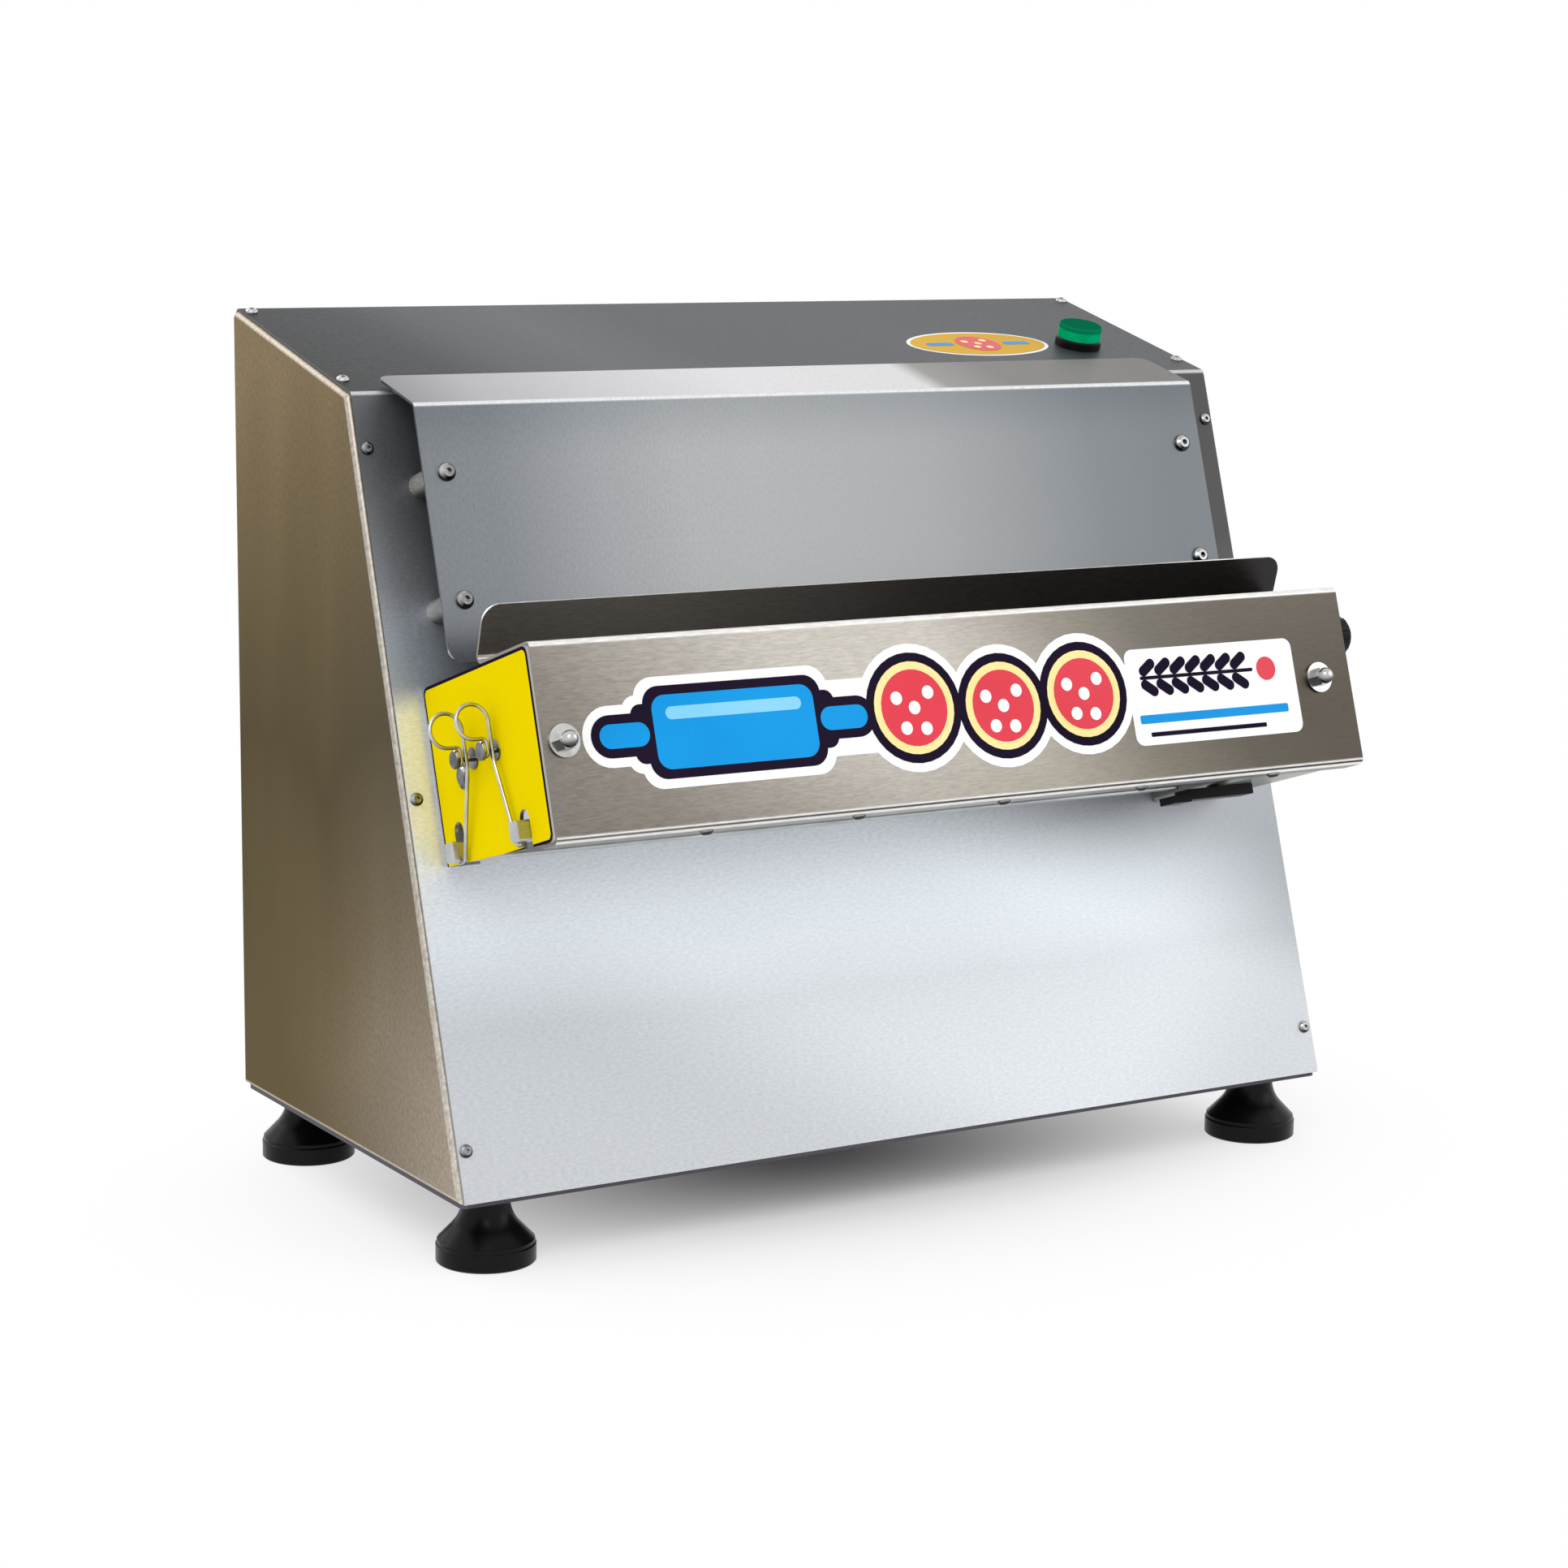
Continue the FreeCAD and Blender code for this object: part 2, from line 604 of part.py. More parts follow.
# Corners of a folded sheet's section. The sheet starts at a point and runs leg by leg, each with
# its length and heading; its thickness lies on the left (side 1) or right (side -1) of the run.
def foldedSection(start, legs, thick, inside, side):
    path = [(size(start[0]), size(start[1]))]
    for length, heading in legs:
        x, y = path[-1]
        path.append((x + length * cosine(heading), y + length * sine(heading)))
    headings = [size(heading) for length, heading in legs]
    near = []
    far = []
    for i, (x, y) in enumerate(path):
        before = headings[max(i - 1, 0)]
        after = headings[min(i, len(legs) - 1)]
        share = thick * side / (1 + cosine(after - before))
        shiftX = -(sine(before) + sine(after)) * share
        shiftY = (cosine(before) + cosine(after)) * share
        if 0 < i < len(legs):
            turnsLeft = math.sin(math.radians(after.value - before.value)) > 0
            inner = turnsLeft == (side > 0)
            nearRadius, farRadius = (inside + thick, inside) if inner else (inside, inside + thick)
            near.append((x, y, nearRadius))
            far.append((x + shiftX, y + shiftY, farRadius))
        else:
            near.append((x, y))
            far.append((x + shiftX, y + shiftY))
    return near + far[::-1]


def folded(sketch, start, legs, thick, inside, side):
    outline(sketch, foldedSection(start, legs, thick, inside, side))


# Pieces at their own places and tilts, kept together as one node.
def gather(label, placed):
    links = []
    for i, (master, frame) in enumerate(placed):
        link = doc.addObject("App::Link", "%s%d" % (label, i + 1))
        link.LinkedObject = master
        link.Placement = frame.placement()
        link.setExpression("Placement", frame.text())
        links.append(link)
    group = doc.addObject("Part::Compound", label)
    group.Label = label
    group.Links = links
    nodes[label] = group


# copies of one fastener
def fasteners(label, master, frames):
    gather(label, [(master, frame) for frame in frames])


def newMaster(name):
    return doc.addObject("PartDesign::Body", name)


# Heads of screws face out: these turn a master's +Z to the front, to the rear and down.
def facingFront(frame):
    return frame.turned(90)


def facingRear(frame):
    return frame.turned(-90)


def facingDown(frame):
    return frame.turned(180)


# button head screw: head above z = 0, shank below, hexagon socket
def buttonScrew(name, head, rise, shank, length):
    body = newMaster(name)
    sketch = newSketch(body, "XZ_Plane")
    outline(sketch, [(0, -length), (shank, -length), (shank, 0), (head, 0),
                     (head * 0.97, rise / 2, rise / 2), (head * 0.6, rise), (0, rise)])
    revolve(body, sketch)
    socket = newSketch(body, "XY_Plane", rise)
    hexagon(socket, head * 0.36)
    pocket(body, socket, rise * 0.6)
    return body


def hexagon(sketch, radius):
    outline(sketch, [(radius * cosine(60 * i), radius * sine(60 * i)) for i in range(6)])


# outline of the body's side, set in by a thickness, round at its two upper corners
def sideOutline(inset, bottom, radius):
    blend = inset / (1 + sine(d.slopeAngle + d.topAngle))
    corners = [
        ((inset + bottom * sine(d.slopeAngle)) / cosine(d.slopeAngle), bottom),
        (slopeRun + blend * (cosine(d.slopeAngle) + sine(d.topAngle)),
         slopeRise - blend * (sine(d.slopeAngle) + cosine(d.topAngle))),
        (d.bodyDepth - inset,
         bodyHeight - (inset * sine(d.topAngle) + inset) / cosine(d.topAngle)),
        (d.bodyDepth - inset, bottom),
    ]
    return [corners[0], corners[1] + (radius,), corners[2] + (radius,), corners[3]]


# side panel: a tray with turned in edges that carry the other panels
def sidePanel(label, side):
    body = newBody(label, level)
    face = d.bodyWidth / 2 * side
    shell = newSketch(body, "YZ_Plane", face)
    outline(shell, sideOutline(d.sheetThick, size(0), d.panelCorner))
    pad(body, shell, d.sideFlange, reverse=side > 0)
    hollow = newSketch(body, "YZ_Plane", face - d.sheetThick * side)
    outline(hollow, sideOutline(2 * d.sheetThick, d.sheetThick, d.panelCorner - d.sheetThick))
    pocket(body, hollow, d.sideFlange, reverse=side < 0)
    edge = face.value
    roundEdges(body, d.sideBend, lambda e: all(abs(p.x - edge) < 1e-6 for p in ends(e)))
    x = face - d.screwEdge * side
    front = newSketch(body, "XZ_Plane", 0, -d.slopeAngle)
    for rise in (d.frontScrewLow, d.frontScrewMid, d.frontScrewHigh):
        circle(front, x, rise, d.smallShank + d.fitGap)
    pocket(body, front, 8 * d.sheetThick, both=True)
    lid = newSketch(body, "XY_Plane")
    bindSeat(lid, Frame(0, slopeRun, slopeRise, d.topAngle))
    for back in (d.topScrewFront, topScrewRear):
        circle(lid, x, back, d.smallShank + d.fitGap)
    pocket(body, lid, 8 * d.sheetThick, both=True)
    rear = newSketch(body, "XZ_Plane", -d.bodyDepth)
    for column, rise in rearScrewPlaces():
        if column.value * face.value > 0:
            circle(rear, x, rise, d.smallShank + d.fitGap)
    pocket(body, rear, 8 * d.sheetThick, both=True)


def basePan():
    body = newBody("base_pan", level)
    halfWidth = d.bodyWidth / 2 - d.baseInset
    plate = newSketch(body, "XY_Plane")
    box(plate, -halfWidth, d.baseInset, halfWidth, d.bodyDepth - d.baseInset, d.baseCorner)
    pad(body, plate, d.baseLip, reverse=True)
    under = newSketch(body, "XY_Plane", -d.sheetThick)
    inner = halfWidth - d.sheetThick
    box(under, -inner, d.baseInset + d.sheetThick, inner,
        d.bodyDepth - d.baseInset - d.sheetThick, d.baseCorner - d.sheetThick)
    pocket(body, under, d.baseLip)
    holes = newSketch(body, "XY_Plane")
    for x, y in footPlaces():
        circle(holes, x, y, d.studRadius + d.looseGap)
    pocket(body, holes, 3 * d.sheetThick, both=True)


def footPlaces():
    x = d.bodyWidth / 2 - d.footSideInset
    rear = d.bodyDepth - d.footRearInset
    return [(-x, d.footFrontInset), (x, d.footFrontInset), (-x, rear), (x, rear)]


# foot: base ring, shoulder, cone that blends into the neck, and threaded stud
def foot(label, x, y):
    body = newBody(label, level.at(x, y, -d.footHeight))
    topFace = d.footHeight - d.sheetThick
    shoulderTop = d.footRing + d.footShoulder
    groove = d.footRing * 0.08
    profile = newSketch(body, "XZ_Plane")
    outline(profile, [
        (0, 0), (d.footRadius - groove, 0), (d.footRadius, groove), (d.footRadius, d.footRing),
        (d.footRadius - groove, d.footRing + groove), (d.footRadius - groove, shoulderTop - groove),
        (d.footRadius - 2 * groove, shoulderTop),
        (d.footNeck, shoulderTop + d.footCone, d.footFlare),
        (d.footNeck, topFace), (d.studRadius, topFace),
        (d.studRadius, topFace + d.studRise), (0, topFace + d.studRise),
    ])
    revolve(body, profile)


def feet():
    labels = ["front_left_foot", "front_right_foot", "rear_left_foot", "rear_right_foot"]
    for label, (x, y) in zip(labels, footPlaces()):
        foot(label, x, y)
    nut = newMaster("footNutMaster")
    profile = newSketch(nut, "XY_Plane")
    hexagon(profile, d.footNutFlats / root(size(3)))
    circle(profile, 0, 0, d.studRadius + d.fitGap)
    pad(nut, profile, d.footNutHeight)
    fasteners("foot_nuts", nut, [level.at(x, y, 0) for x, y in footPlaces()])


def screwColumns():
    x = d.bodyWidth / 2 - d.screwEdge
    return [-x, x]


# front and top of the body, folded from one sheet
def frontTopCover():
    body = newBody("front_top_cover", level)
    section = newSketch(body, "YZ_Plane")
    legs = [(d.slopeLength, upward - d.slopeAngle), (topLength, d.topAngle), (d.rearLip, downward)]
    folded(section, (0, 0), legs, d.sheetThick, d.bendInside, -1)
    pad(body, section, d.bodyWidth - 2 * d.coverEdgeInset, both=True)
    front = newSketch(body, "XZ_Plane", 0, -d.slopeAngle)
    beltCentre = dividerLeft + d.plateThick + d.beltPlace
    box(front, beltCentre - d.windowWidth / 2, windowLow, beltCentre + d.windowWidth / 2,
        windowHigh, d.bendInside)
    for x in screwColumns():
        for rise in (d.frontScrewLow, d.frontScrewMid, d.frontScrewHigh):
            circle(front, x, rise, d.smallShank + d.fitGap)
    for x, rise in chuteScrewPlaces():
        circle(front, x, rise, d.largeShank + d.fitGap)
    pocket(body, front, 4 * d.sheetThick, both=True)
    lid = newSketch(body, "XY_Plane")
    bindSeat(lid, Frame(0, slopeRun, slopeRise, d.topAngle))
    circle(lid, lampSide, d.lampBack, d.lampNeckRadius + d.fitGap)
    for x in screwColumns():
        for back in (d.topScrewFront, topScrewRear):
            circle(lid, x, back, d.smallShank + d.fitGap)
    pocket(body, lid, 4 * d.sheetThick, both=True)


def rearPanel():
    body = newBody("rear_panel", level)
    halfWidth = d.bodyWidth / 2 - d.coverEdgeInset
    upper = bodyHeight - d.rearLip - d.panelGap
    plate = newSketch(body, "XZ_Plane", -d.bodyDepth)
    box(plate, -halfWidth, d.panelGap, halfWidth, upper)
    pad(body, plate, d.sheetThick)
    cut = newSketch(body, "XZ_Plane", -d.bodyDepth)
    box(cut, -switchSide - d.rockerWidth / 2, d.rearServiceRise - d.rockerHeight / 2,
        -switchSide + d.rockerWidth / 2, d.rearServiceRise + d.rockerHeight / 2)
    circle(cut, -glandSide, d.rearServiceRise, d.glandThread + d.fitGap)
    for x, rise in rearScrewPlaces():
        circle(cut, x, rise, d.smallShank + d.fitGap)
    run = d.ventHeight / 2 - d.ventHalf
    for i in range(int(d.ventCount.value)):
        x = d.ventPitch * (i - (d.ventCount.value - 1) / 2)
        slot(cut, x, d.ventRise - run, x, d.ventRise + run, d.ventHalf)
    pocket(body, cut, 4 * d.sheetThick, both=True)


def rearScrewPlaces():
    upper = bodyHeight - d.rearLip - d.panelGap - d.rearScrewInset
    lower = d.panelGap + d.rearScrewInset
    return [(x, rise) for x in screwColumns() for rise in (lower, (lower + upper) / 2, upper)]


def bodyScrews():
    master = buttonScrew("smallScrewMaster", d.smallHead, d.smallHeadRise, d.smallShank, d.smallLength)
    rises = (d.frontScrewLow, d.frontScrewMid, d.frontScrewHigh)
    front = [facingFront(slope.at(x, 0, rise)) for x in screwColumns() for rise in rises]
    fasteners("front_panel_screws", master, front)
    backs = (d.topScrewFront, topScrewRear)
    lid = [top.at(x, back, 0) for x in screwColumns() for back in backs]
    fasteners("top_panel_screws", master, lid)
    rear = [facingRear(level.at(x, d.bodyDepth, rise)) for x, rise in rearScrewPlaces()]
    fasteners("rear_panel_screws", master, rear)
    setback = d.coverScrewSetback - d.boxDepth
    below = [facingDown(slope.at(x, setback, d.boxBottom)) for x in coverScrewPlaces()]
    fasteners("cover_bottom_screws", master, below)


def coverScrewPlaces():
    first = boxLeft + d.coverScrewFirst
    return [first + coverScrewPitch * i for i in range(int(d.coverScrews.value))]


def chuteScrewPlaces():
    reach = chuteWidth / 2 - d.chuteScrewInset
    xs = [frontShift - reach, frontShift + reach]
    return [(x, rise) for x in xs for rise in (chuteScrewLow, chuteScrewHigh)]


# chute: sheet on four tube spacers, its top turned back over the body's top
def feedChute():
    body = newBody("feed_chute", slope.at(frontShift, 0, 0))
    section = newSketch(body, "YZ_Plane")
    legs = [(chuteTop - chuteBottom, upward), (d.chuteFlange, d.slopeAngle + d.topAngle)]
    folded(section, (-d.chuteStand, chuteBottom), legs, d.sheetThick, d.bendInside, -1)
    pad(body, section, chuteWidth, both=True)
    thick = d.sheetThick.value
    roundEdges(body, d.chuteCorner, lambda e: abs(e.Length - thick) < 1e-6)
    holes = newSketch(body, "XZ_Plane", d.chuteStand)
    for x, rise in chuteScrewPlaces():
        circle(holes, x - frontShift, rise, d.largeShank + d.fitGap)
    pocket(body, holes, 4 * d.sheetThick, both=True)
    spacer = newMaster("spacerMaster")
    ring = newSketch(spacer, "XY_Plane")
    circle(ring, 0, 0, d.spacerRadius)
    circle(ring, 0, 0, d.largeShank + d.fitGap)
    pad(spacer, ring, d.chuteStand - d.sheetThick)
    places = [facingFront(slope.at(x, 0, rise)) for x, rise in chuteScrewPlaces()]
    fasteners("chute_spacers", spacer, places)
    shank = d.chuteStand + d.smallLength
    screw = buttonScrew("largeScrewMaster", d.largeHead, d.largeHeadRise, d.largeShank, shank)
    heads = [facingFront(slope.at(x, -d.chuteStand, rise)) for x, rise in chuteScrewPlaces()]
    fasteners("chute_screws", screw, heads)


def domePlaces():
    return [boxLeft + d.leftDomeInset, boxRight - d.rightDomeInset]


# cover of the roller box with its flared lip, folded from one sheet
def rollerCover():
    body = newBody("roller_cover", slope.at(frontShift, 0, 0))
    section = newSketch(body, "YZ_Plane")
    legs = [(d.boxLowerFlange, frontward), (boxTop - d.boxBottom, upward),
            (d.boxUpperDepth, rearward), (d.lipLength, upward + d.lipAngle)]
    folded(section, (d.boxLowerFlange - d.boxDepth, d.boxBottom), legs, d.sheetThick, d.bendInside, -1)
    pad(body, section, boxWidth, both=True)
    thick = d.sheetThick.value
    upper = boxTop.value
    roundEdges(body, d.lipCorner,
               lambda e: abs(e.Length - thick) < 1e-6 and all(p.z > upper for p in ends(e)))
    holes = newSketch(body, "XZ_Plane", d.boxDepth)
    for x in domePlaces():
        circle(holes, x - frontShift, domeNutRise, d.largeShank + d.fitGap)
    pocket(body, holes, 4 * d.sheetThick, both=True)
    lower = newSketch(body, "XY_Plane", d.boxBottom)
    for x in coverScrewPlaces():
        circle(lower, x - frontShift, d.coverScrewSetback - d.boxDepth, d.smallShank + d.fitGap)
    pocket(body, lower, 4 * d.sheetThick, both=True)


def coverStiffener():
    body = newBody("cover_stiffener", slope)
    front = -(boxInside - d.bendInside)
    lower = d.boxBottom + d.sheetThick + d.fitGap
    bar = newSketch(body, "YZ_Plane", boxLeft + d.plateFlange + d.plateThick)
    box(bar, front, lower, front + d.stiffenerWidth, lower + d.stiffenerHeight)
    pad(body, bar, dividerPlace - d.plateFlange - 2 * d.plateThick)
    holes = newSketch(body, "XY_Plane", lower)
    for x in coverScrewPlaces():
        circle(holes, x, d.coverScrewSetback - d.boxDepth, d.smallShank + d.fitGap)
    pocket(body, holes, 4 * d.stiffenerHeight, both=True)


# dome nuts, washers and studs that hold the cover to the end plates
def coverFasteners():
    nut = newMaster("domeNutMaster")
    profile = newSketch(nut, "XY_Plane")
    hexagon(profile, d.domeFlats / root(size(3)))
    pad(nut, profile, d.domeHex)
    dome = newSketch(nut, "XZ_Plane")
    ball = d.domeRadius * 0.8
    outline(dome, [(0, d.domeHex / 2), (ball, d.domeHex / 2), (ball, d.domeHex + ball, ball * 0.95),
                   (0, d.domeHex + ball)])
    revolve(nut, dome)
    bore = newSketch(nut, "XY_Plane")
    circle(bore, 0, 0, d.largeShank + d.fitGap)
    pocket(nut, bore, d.domeHex, reverse=True)
    seats = [slope.at(x, -d.boxDepth, domeNutRise) for x in domePlaces()]
    fasteners("cover_dome_nuts", nut, [facingFront(s.at(0, -d.washerThick, 0)) for s in seats])
    washer = newMaster("washerMaster")
    ring = newSketch(washer, "XY_Plane")
    circle(ring, 0, 0, d.washerRadius)
    circle(ring, 0, 0, d.largeShank + d.fitGap)
    pad(washer, ring, d.washerThick)
    fasteners("cover_washers", washer, [facingFront(s) for s in seats])
    stud = newMaster("studMaster")
    rod = newSketch(stud, "XY_Plane", -(d.sheetThick + d.plateThick))
    circle(rod, 0, 0, d.largeShank)
    pad(stud, rod, d.sheetThick + d.plateThick + d.washerThick + d.domeHex * 0.8)
    fasteners("cover_studs", stud, [facingFront(s) for s in seats])


# end plate of the box: web with turned in edges against the front panel and behind the cover
def endPlate(label, side, flange, rearFlange):
    body = newBody(label, slope)
    outer = boxLeft if side < 0 else boxRight
    height = plateTop - plateFrontBottom
    depth = boxInside - d.fitGap
    section = newSketch(body, "XY_Plane", plateFrontBottom)
    startHeading = 180 if side < 0 else 0
    legs = [(rearFlange, startHeading), (depth, -90), (flange, 180 - startHeading)]
    folded(section, (outer - rearFlange * side, 0), legs, d.plateThick, d.plateThick / 2, -side)
    pad(body, section, height)
    # its two front corners are cut off to clear the bends of the cover
    corner = newSketch(body, "YZ_Plane", outer - flange * side / 2)
    front = -(depth + d.overrun)
    below = plateFrontBottom - d.overrun
    cutLow = plateFrontBottom + d.bendInside
    outline(corner, [(0, below), (0, plateRearBottom), (d.bendInside - depth, plateFrontBottom),
                     (-depth, cutLow), (front, cutLow), (front, below)])
    outline(corner, [(front, plateTop - d.bendInside - d.overrun),
                     (d.bendInside + d.overrun - depth, plateTop + d.overrun),
                     (front, plateTop + d.overrun)])
    pocket(body, corner, 2 * flange, both=True)
    return body, outer, depth


def leftEndPlate():
    body, outer, depth = endPlate("left_end_plate", -1, d.plateFlange, d.plateRear)
    cut = newSketch(body, "YZ_Plane", outer)
    half = d.barWidth / 2 + d.looseGap
    for off, rise in ((rearBarOff, rearNotchTop), (frontBarOff, frontNotchTop)):
        outline(cut, [(-off - half, plateFrontBottom - d.overrun),
                      (-off + half, plateFrontBottom - d.overrun),
                      (-off + half, rise, half * 0.98), (-off - half, rise, half * 0.98)])
    circle(cut, -rearPinOff, pinRise, d.pinRadius + d.fitGap)
    circle(cut, -frontPinOff, pinRise, d.pinRadius + d.fitGap)
    circle(cut, -d.rearRollerOff, rollerRise, d.shaftRadius / 2 + d.fitGap)
    pocket(body, cut, 3 * d.plateThick, both=True)
    domeHoles(body, depth)


def domeHoles(body, depth):
    holes = newSketch(body, "XZ_Plane", depth)
    for x in domePlaces():
        circle(holes, x, domeNutRise, d.largeShank + d.fitGap)
    pocket(body, holes, 3 * d.plateThick, both=True)


def rightEndPlate():
    body, outer, depth = endPlate("right_end_plate", 1, d.rightPlateFlange, d.rightPlateRear)
    cut = newSketch(body, "YZ_Plane", outer)
    circle(cut, -camShaftOff, camShaftRise, d.camShaftRadius + d.fitGap)
    pocket(body, cut, 3 * d.plateThick, both=True)
    domeHoles(body, depth)


# divider between rollers and gears, with the floor of the gear space turned from its lower edge
def dividerPlate():
    body = newBody("divider_plate", slope)
    lower = d.boxBottom + d.sheetThick + d.looseGap
    section = newSketch(body, "XZ_Plane", d.plateThick + d.looseGap)
    floor = boxRight - d.plateThick - d.looseGap - dividerLeft
    legs = [(plateTop - lower, downward), (floor, rearward)]
    folded(section, (dividerLeft, plateTop), legs, d.plateThick, d.plateThick / 2, 1)
    pad(body, section, boxInside - 2 * (d.plateThick + d.looseGap) - d.fitGap)
    cut = newSketch(body, "YZ_Plane", dividerLeft)
    circle(cut, -d.rearRollerOff, rollerRise, d.shaftRadius + d.looseGap)
    slot(cut, -frontRollerOff - d.gapTravel, rollerRise, -frontRollerOff, rollerRise,
         d.shaftRadius + d.looseGap)
    circle(cut, -camShaftOff, camShaftRise, d.camShaftRadius + d.fitGap)
    for off in (rearBarOff, frontBarOff):
        half = d.barWidth / 2 + d.looseGap
        tall = d.barHeight / 2 + d.looseGap
        box(cut, -off - half, barRise - tall, -off + half, barRise + tall)
    pocket(body, cut, 3 * d.plateThick, both=True)


# bearing carriers: a round bushing for the rear shaft, a window for the sliding front block
def carrier(label, start):
    body = newBody(label, slope)
    plate = newSketch(body, "YZ_Plane", start)
    box(plate, -(boxInside - d.carrierSetback), carrierBottom, -(d.carrierSetback),
        carrierTop, d.bendInside)
    circle(plate, -d.rearRollerOff, rollerRise, d.shaftRadius + d.bushWall + d.fitGap)
    circle(plate, -camShaftOff, camShaftRise, d.camShaftRadius + d.fitGap)
    box(plate, -(frontRollerOff + d.blockHalf + d.gapTravel + d.looseGap),
        rollerRise - d.blockHalf - d.looseGap,
        -(frontRollerOff - d.blockHalf - d.looseGap), blockTop + d.looseGap)
    pad(body, plate, d.carrierThick)


def carrierStarts():
    return [boxLeft + d.plateThick + d.fitGap, dividerLeft - d.carrierThick - d.fitGap]


def bearings():
    leftStart, rightStart = carrierStarts()
    carrier("left_bearing_carrier", leftStart)
    carrier("right_bearing_carrier", rightStart)
    bush = newMaster("bushMaster")
    ring = newSketch(bush, "YZ_Plane")
    circle(ring, 0, 0, d.shaftRadius + d.bushWall)
    circle(ring, 0, 0, d.shaftRadius + d.fitGap)
    pad(bush, ring, d.carrierThick + d.bushProud)
    axis = slope.at(0, -d.rearRollerOff, rollerRise)
    places = [axis.at(leftStart, 0, 0), axis.at(rightStart - d.bushProud, 0, 0)]
    fasteners("rear_roller_bushings", bush, places)
    block = newMaster("blockMaster")
    shape = newSketch(block, "YZ_Plane")
    box(shape, -d.blockHalf, -d.blockHalf, d.blockHalf, blockTop - rollerRise, d.bendInside / 2)
    circle(shape, 0, 0, d.shaftRadius + d.fitGap)
    pad(block, shape, d.blockThick)
    axis = slope.at(0, -frontRollerOff, rollerRise)
    rightBlock = rightStart + d.carrierThick - d.blockThick
    places = [axis.at(leftStart, 0, 0), axis.at(rightBlock, 0, 0)]
    fasteners("front_bearing_blocks", block, places)


def rollerStart():
    return boxLeft + d.rollerStart


# roller: turned sleeve with a recess in each end
def roller(label, off):
    body = newBody(label, slope.at(rollerStart(), -off, rollerRise))
    hub = d.shaftRadius * 1.6
    rim = d.rollerRadius - d.rollerRim
    end = rollerLength
    profile = newSketch(body, "XZ_Plane")
    outline(profile, [
        (d.rollerRecess / 2, d.shaftRadius + d.fitGap), (d.rollerRecess / 2, hub),
        (d.rollerRecess, hub), (d.rollerRecess, rim), (0, rim),
        (0, d.rollerRadius - d.rollerChamfer), (d.rollerChamfer, d.rollerRadius),
        (end - d.rollerChamfer, d.rollerRadius), (end, d.rollerRadius - d.rollerChamfer),
        (end, rim), (end - d.rollerRecess, rim), (end - d.rollerRecess, hub),
        (end - d.rollerRecess / 2, hub), (end - d.rollerRecess / 2, d.shaftRadius + d.fitGap),
    ])
    revolve(body, profile, "H_Axis")


def shaft(label, off, length):
    body = newBody(label, slope.at(boxLeft + d.shaftEndGap, -off, rollerRise))
    profile = newSketch(body, "XZ_Plane")
    radius = d.shaftRadius
    outline(profile, [(0, 0), (0, radius - d.shaftChamfer), (d.shaftChamfer, radius),
                      (length - d.shaftChamfer, radius), (length, radius - d.shaftChamfer), (length, 0)])
    revolve(body, profile, "H_Axis")


def gearStart():
    return dividerLeft + d.plateThick + d.gearPlace - d.gearHubRise


# involute half angle of a tooth at a radius given in modules, in degrees
def toothHalf(radiusShare, teeth, pressure):
    pitchShare = teeth / 2
    baseShare = pitchShare * math.cos(pressure)
    angle = math.acos(min(1, baseShare / radiusShare))
    spread = math.tan(angle) - angle
    start = math.tan(pressure) - pressure
    return math.degrees(math.pi / (2 * teeth) + start - spread)


# roller gear: one involute tooth on a disc, repeated round it
def rollerGear(label, off, phase):
    body = newBody(label, slope.at(gearStart(), -off, rollerRise))
    teeth = int(d.gearTeeth.value)
    pressure = math.radians(20)
    pitchShare = teeth / 2
    rootShare = pitchShare - 1.25
    blank = newSketch(body, "YZ_Plane", d.gearHubRise)
    circle(blank, 0, 0, gearModule * rootShare)
    pad(body, blank, d.gearWidth)
    hub = newSketch(body, "YZ_Plane")
    circle(hub, 0, 0, d.gearHub)
    pad(body, hub, d.gearHubRise * 2 + d.gearWidth)
    turn = 180 + phase * 180 / teeth
    radiusShares = [rootShare - 0.2, pitchShare * math.cos(pressure), pitchShare - 0.3,
                    pitchShare + 0.35, pitchShare + 1]
    flanks = []
    for share in radiusShares:
        half = toothHalf(max(share, radiusShares[1]), teeth, pressure)
        flanks.append((share, half))
    corners = []
    for sign, order in ((-1, flanks), (1, flanks[::-1])):
        for share, half in order:
            angle = turn + sign * half
            slackY = d.toothSlack * math.sin(math.radians(turn)) * sign
            slackX = -d.toothSlack * math.cos(math.radians(turn)) * sign
            corners.append((gearModule * (share * math.cos(math.radians(angle))) + slackY,
                            gearModule * (share * math.sin(math.radians(angle))) + slackX))
    tooth = newSketch(body, "YZ_Plane", d.gearHubRise)
    outline(tooth, corners)
    oneTooth = pad(body, tooth, d.gearWidth)
    doc.recompute()
    ring = body.newObject("PartDesign::PolarPattern", label + "Teeth")
    ring.Originals = [oneTooth]
    ring.Axis = (tooth, ["N_Axis"])
    ring.Angle = 360
    bind(ring, "Occurrences", d.gearTeeth)
    body.Tip = ring
    doc.recompute()
    bore = newSketch(body, "YZ_Plane")
    circle(bore, 0, 0, d.shaftRadius + d.fitGap)
    pocket(body, bore, 4 * (d.gearHubRise + d.gearWidth), both=True)


def beltCentre():
    return dividerLeft + d.plateThick + d.beltPlace


# pulley: belt seat between two flanges
def pulley(label, frame, bore):
    body = newBody(label, frame)
    half = d.beltWidth / 2 + d.looseGap
    face = half + d.flangeThick
    rim = d.pulleyRadius + d.pulleyFlange
    profile = newSketch(body, "XZ_Plane")
    outline(profile, [(-face, bore), (-face, rim), (-half, rim), (-half, d.pulleyRadius),
                      (half, d.pulleyRadius), (half, rim), (face, rim), (face, bore)])
    revolve(body, profile, "H_Axis")


